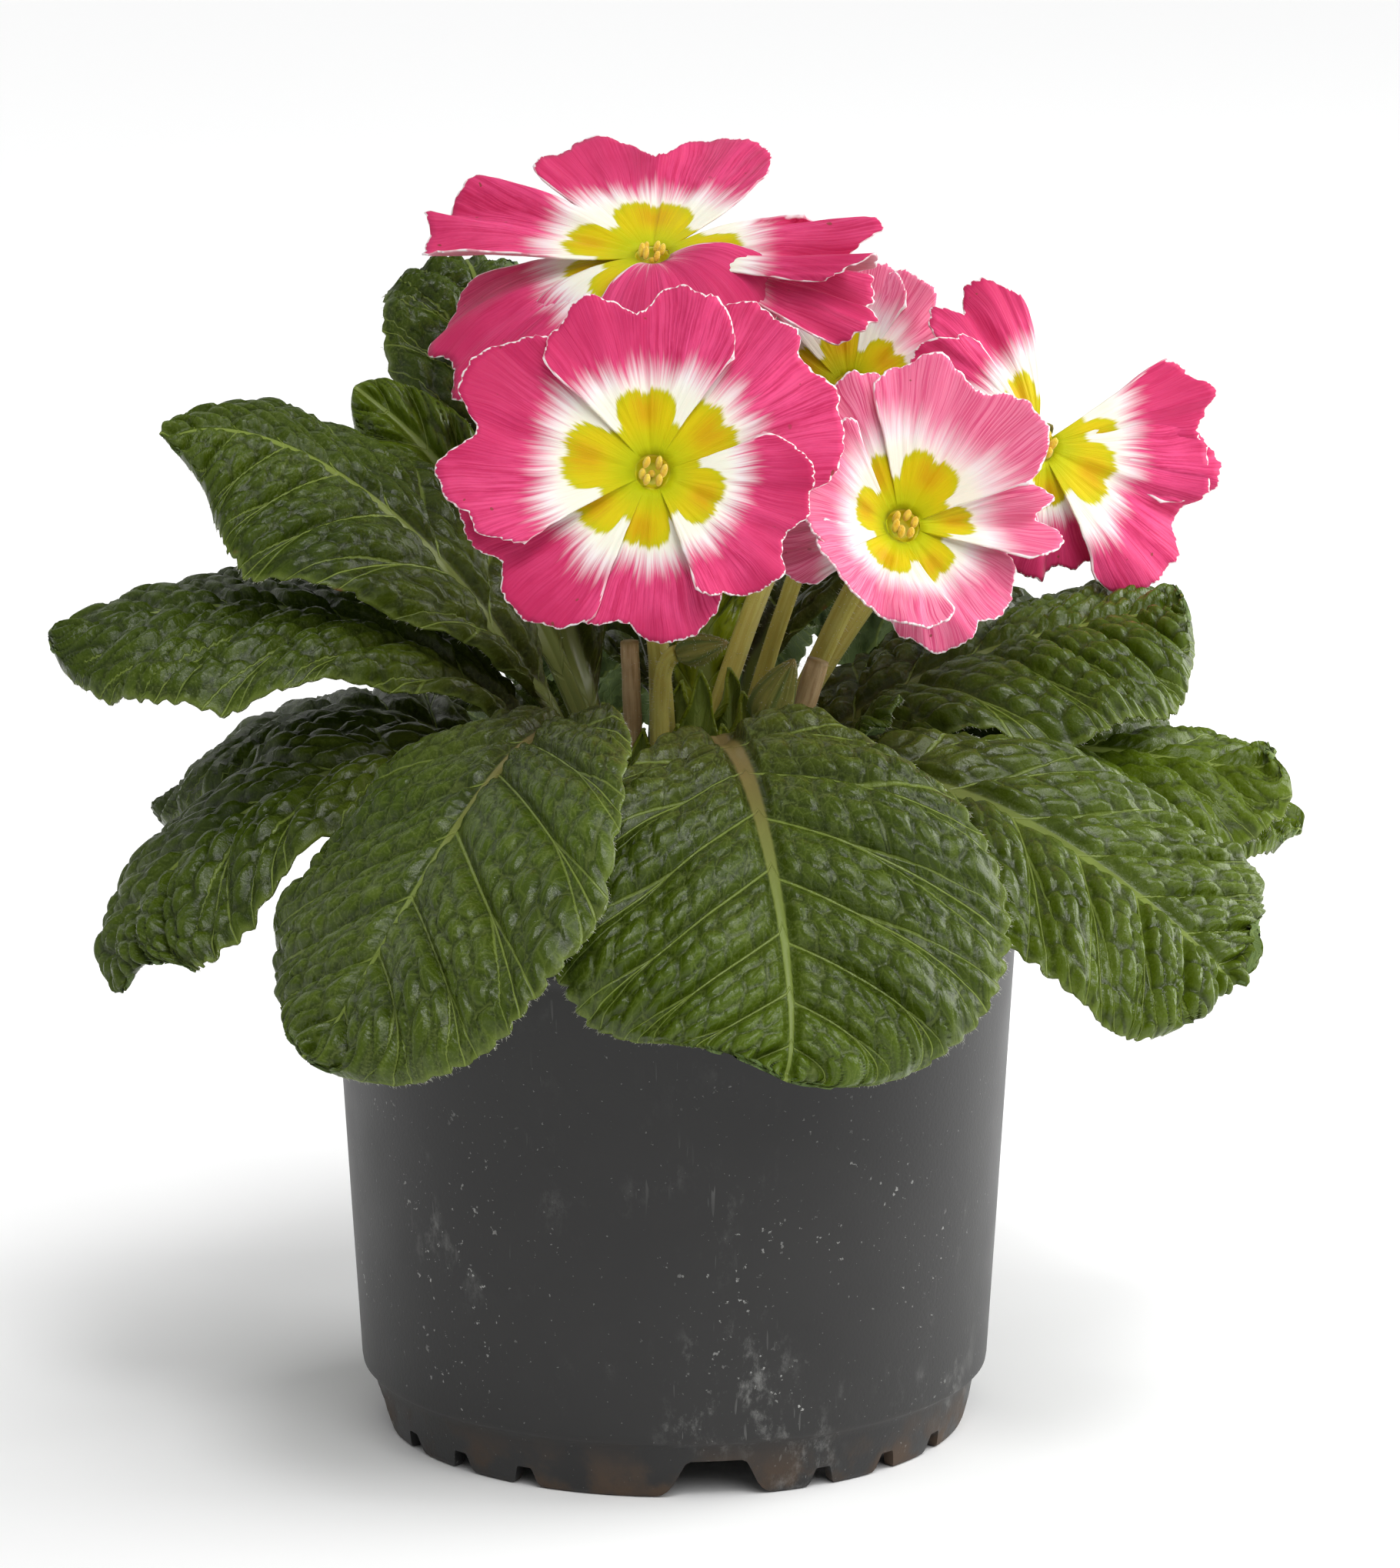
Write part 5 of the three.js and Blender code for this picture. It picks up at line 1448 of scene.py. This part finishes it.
class PRIMROSE_OT_leaves(bpy.types.Operator):
    """Makes the crinkled leaves and the hairs on their edges"""

    bl_idname = "primrose.leaves"
    bl_label = "Make leaves"

    def execute(self, context):
        settings = context.scene.primrose_leaf
        for seed, row in enumerate(LEAVES):
            make_leaf(row, settings, seed)
        make_heart(settings)
        make_leaf_hairs(settings, context.scene.primrose_stalk)
        return {"FINISHED"}


class PRIMROSE_OT_blooms(bpy.types.Operator):
    """Makes the petals, throats and anthers of the open blooms"""

    bl_idname = "primrose.blooms"
    bl_label = "Make blooms"

    def execute(self, context):
        settings = context.scene.primrose_petal
        for bloom in BLOOMS:
            make_corolla(bloom, settings)
            make_throat(bloom, settings)
            make_eye(bloom)
        return {"FINISHED"}


class PRIMROSE_OT_stalks(bpy.types.Operator):
    """Makes the hairy stalks, cups, buds and cut stalks"""

    bl_idname = "primrose.stalks"
    bl_label = "Make stalks"

    def execute(self, context):
        make_stalks(context.scene.primrose_stalk)
        return {"FINISHED"}


class PRIMROSE_OT_stage(bpy.types.Operator):
    """Sets the floor, lights and camera"""

    bl_idname = "primrose.stage"
    bl_label = "Make stage"

    def execute(self, context):
        make_stage(context.scene.primrose_stage)
        return {"FINISHED"}


OPERATORS = (PRIMROSE_OT_pot, PRIMROSE_OT_soil, PRIMROSE_OT_leaves, PRIMROSE_OT_blooms,
             PRIMROSE_OT_stalks, PRIMROSE_OT_stage)
SETTINGS = {"primrose_pot": PotSettings, "primrose_leaf": LeafSettings,
            "primrose_petal": PetalSettings, "primrose_stalk": StalkSettings,
            "primrose_soil": SoilSettings, "primrose_stage": StageSettings}


class PRIMROSE_PT_panel(bpy.types.Panel):
    """Lists the pieces of the primrose with their sizes and colours"""

    bl_idname = "PRIMROSE_PT_panel"
    bl_label = "Primrose"
    bl_space_type = "VIEW_3D"
    bl_region_type = "UI"
    bl_category = "Primrose"

    def draw(self, context):
        for operator in OPERATORS:
            self.layout.operator(operator.bl_idname)
        for name in SETTINGS:
            settings = getattr(context.scene, name)
            box = self.layout.box()
            for key in settings.__annotations__:
                box.prop(settings, key)


def register():
    for name, kind in SETTINGS.items():
        bpy.utils.register_class(kind)
        setattr(bpy.types.Scene, name, bpy.props.PointerProperty(type=kind))
    for kind in (*OPERATORS, PRIMROSE_PT_panel):
        bpy.utils.register_class(kind)


def unregister():
    for kind in reversed((*OPERATORS, PRIMROSE_PT_panel)):
        bpy.utils.unregister_class(kind)
    for name, kind in reversed(SETTINGS.items()):
        delattr(bpy.types.Scene, name)
        bpy.utils.unregister_class(kind)


def main():
    register()
    bpy.ops.primrose.stage()
    bpy.ops.primrose.pot()
    bpy.ops.primrose.soil()
    bpy.ops.primrose.leaves()
    bpy.ops.primrose.blooms()
    bpy.ops.primrose.stalks()
    bpy.context.view_layer.update()


if __name__ == "__main__":
    main()
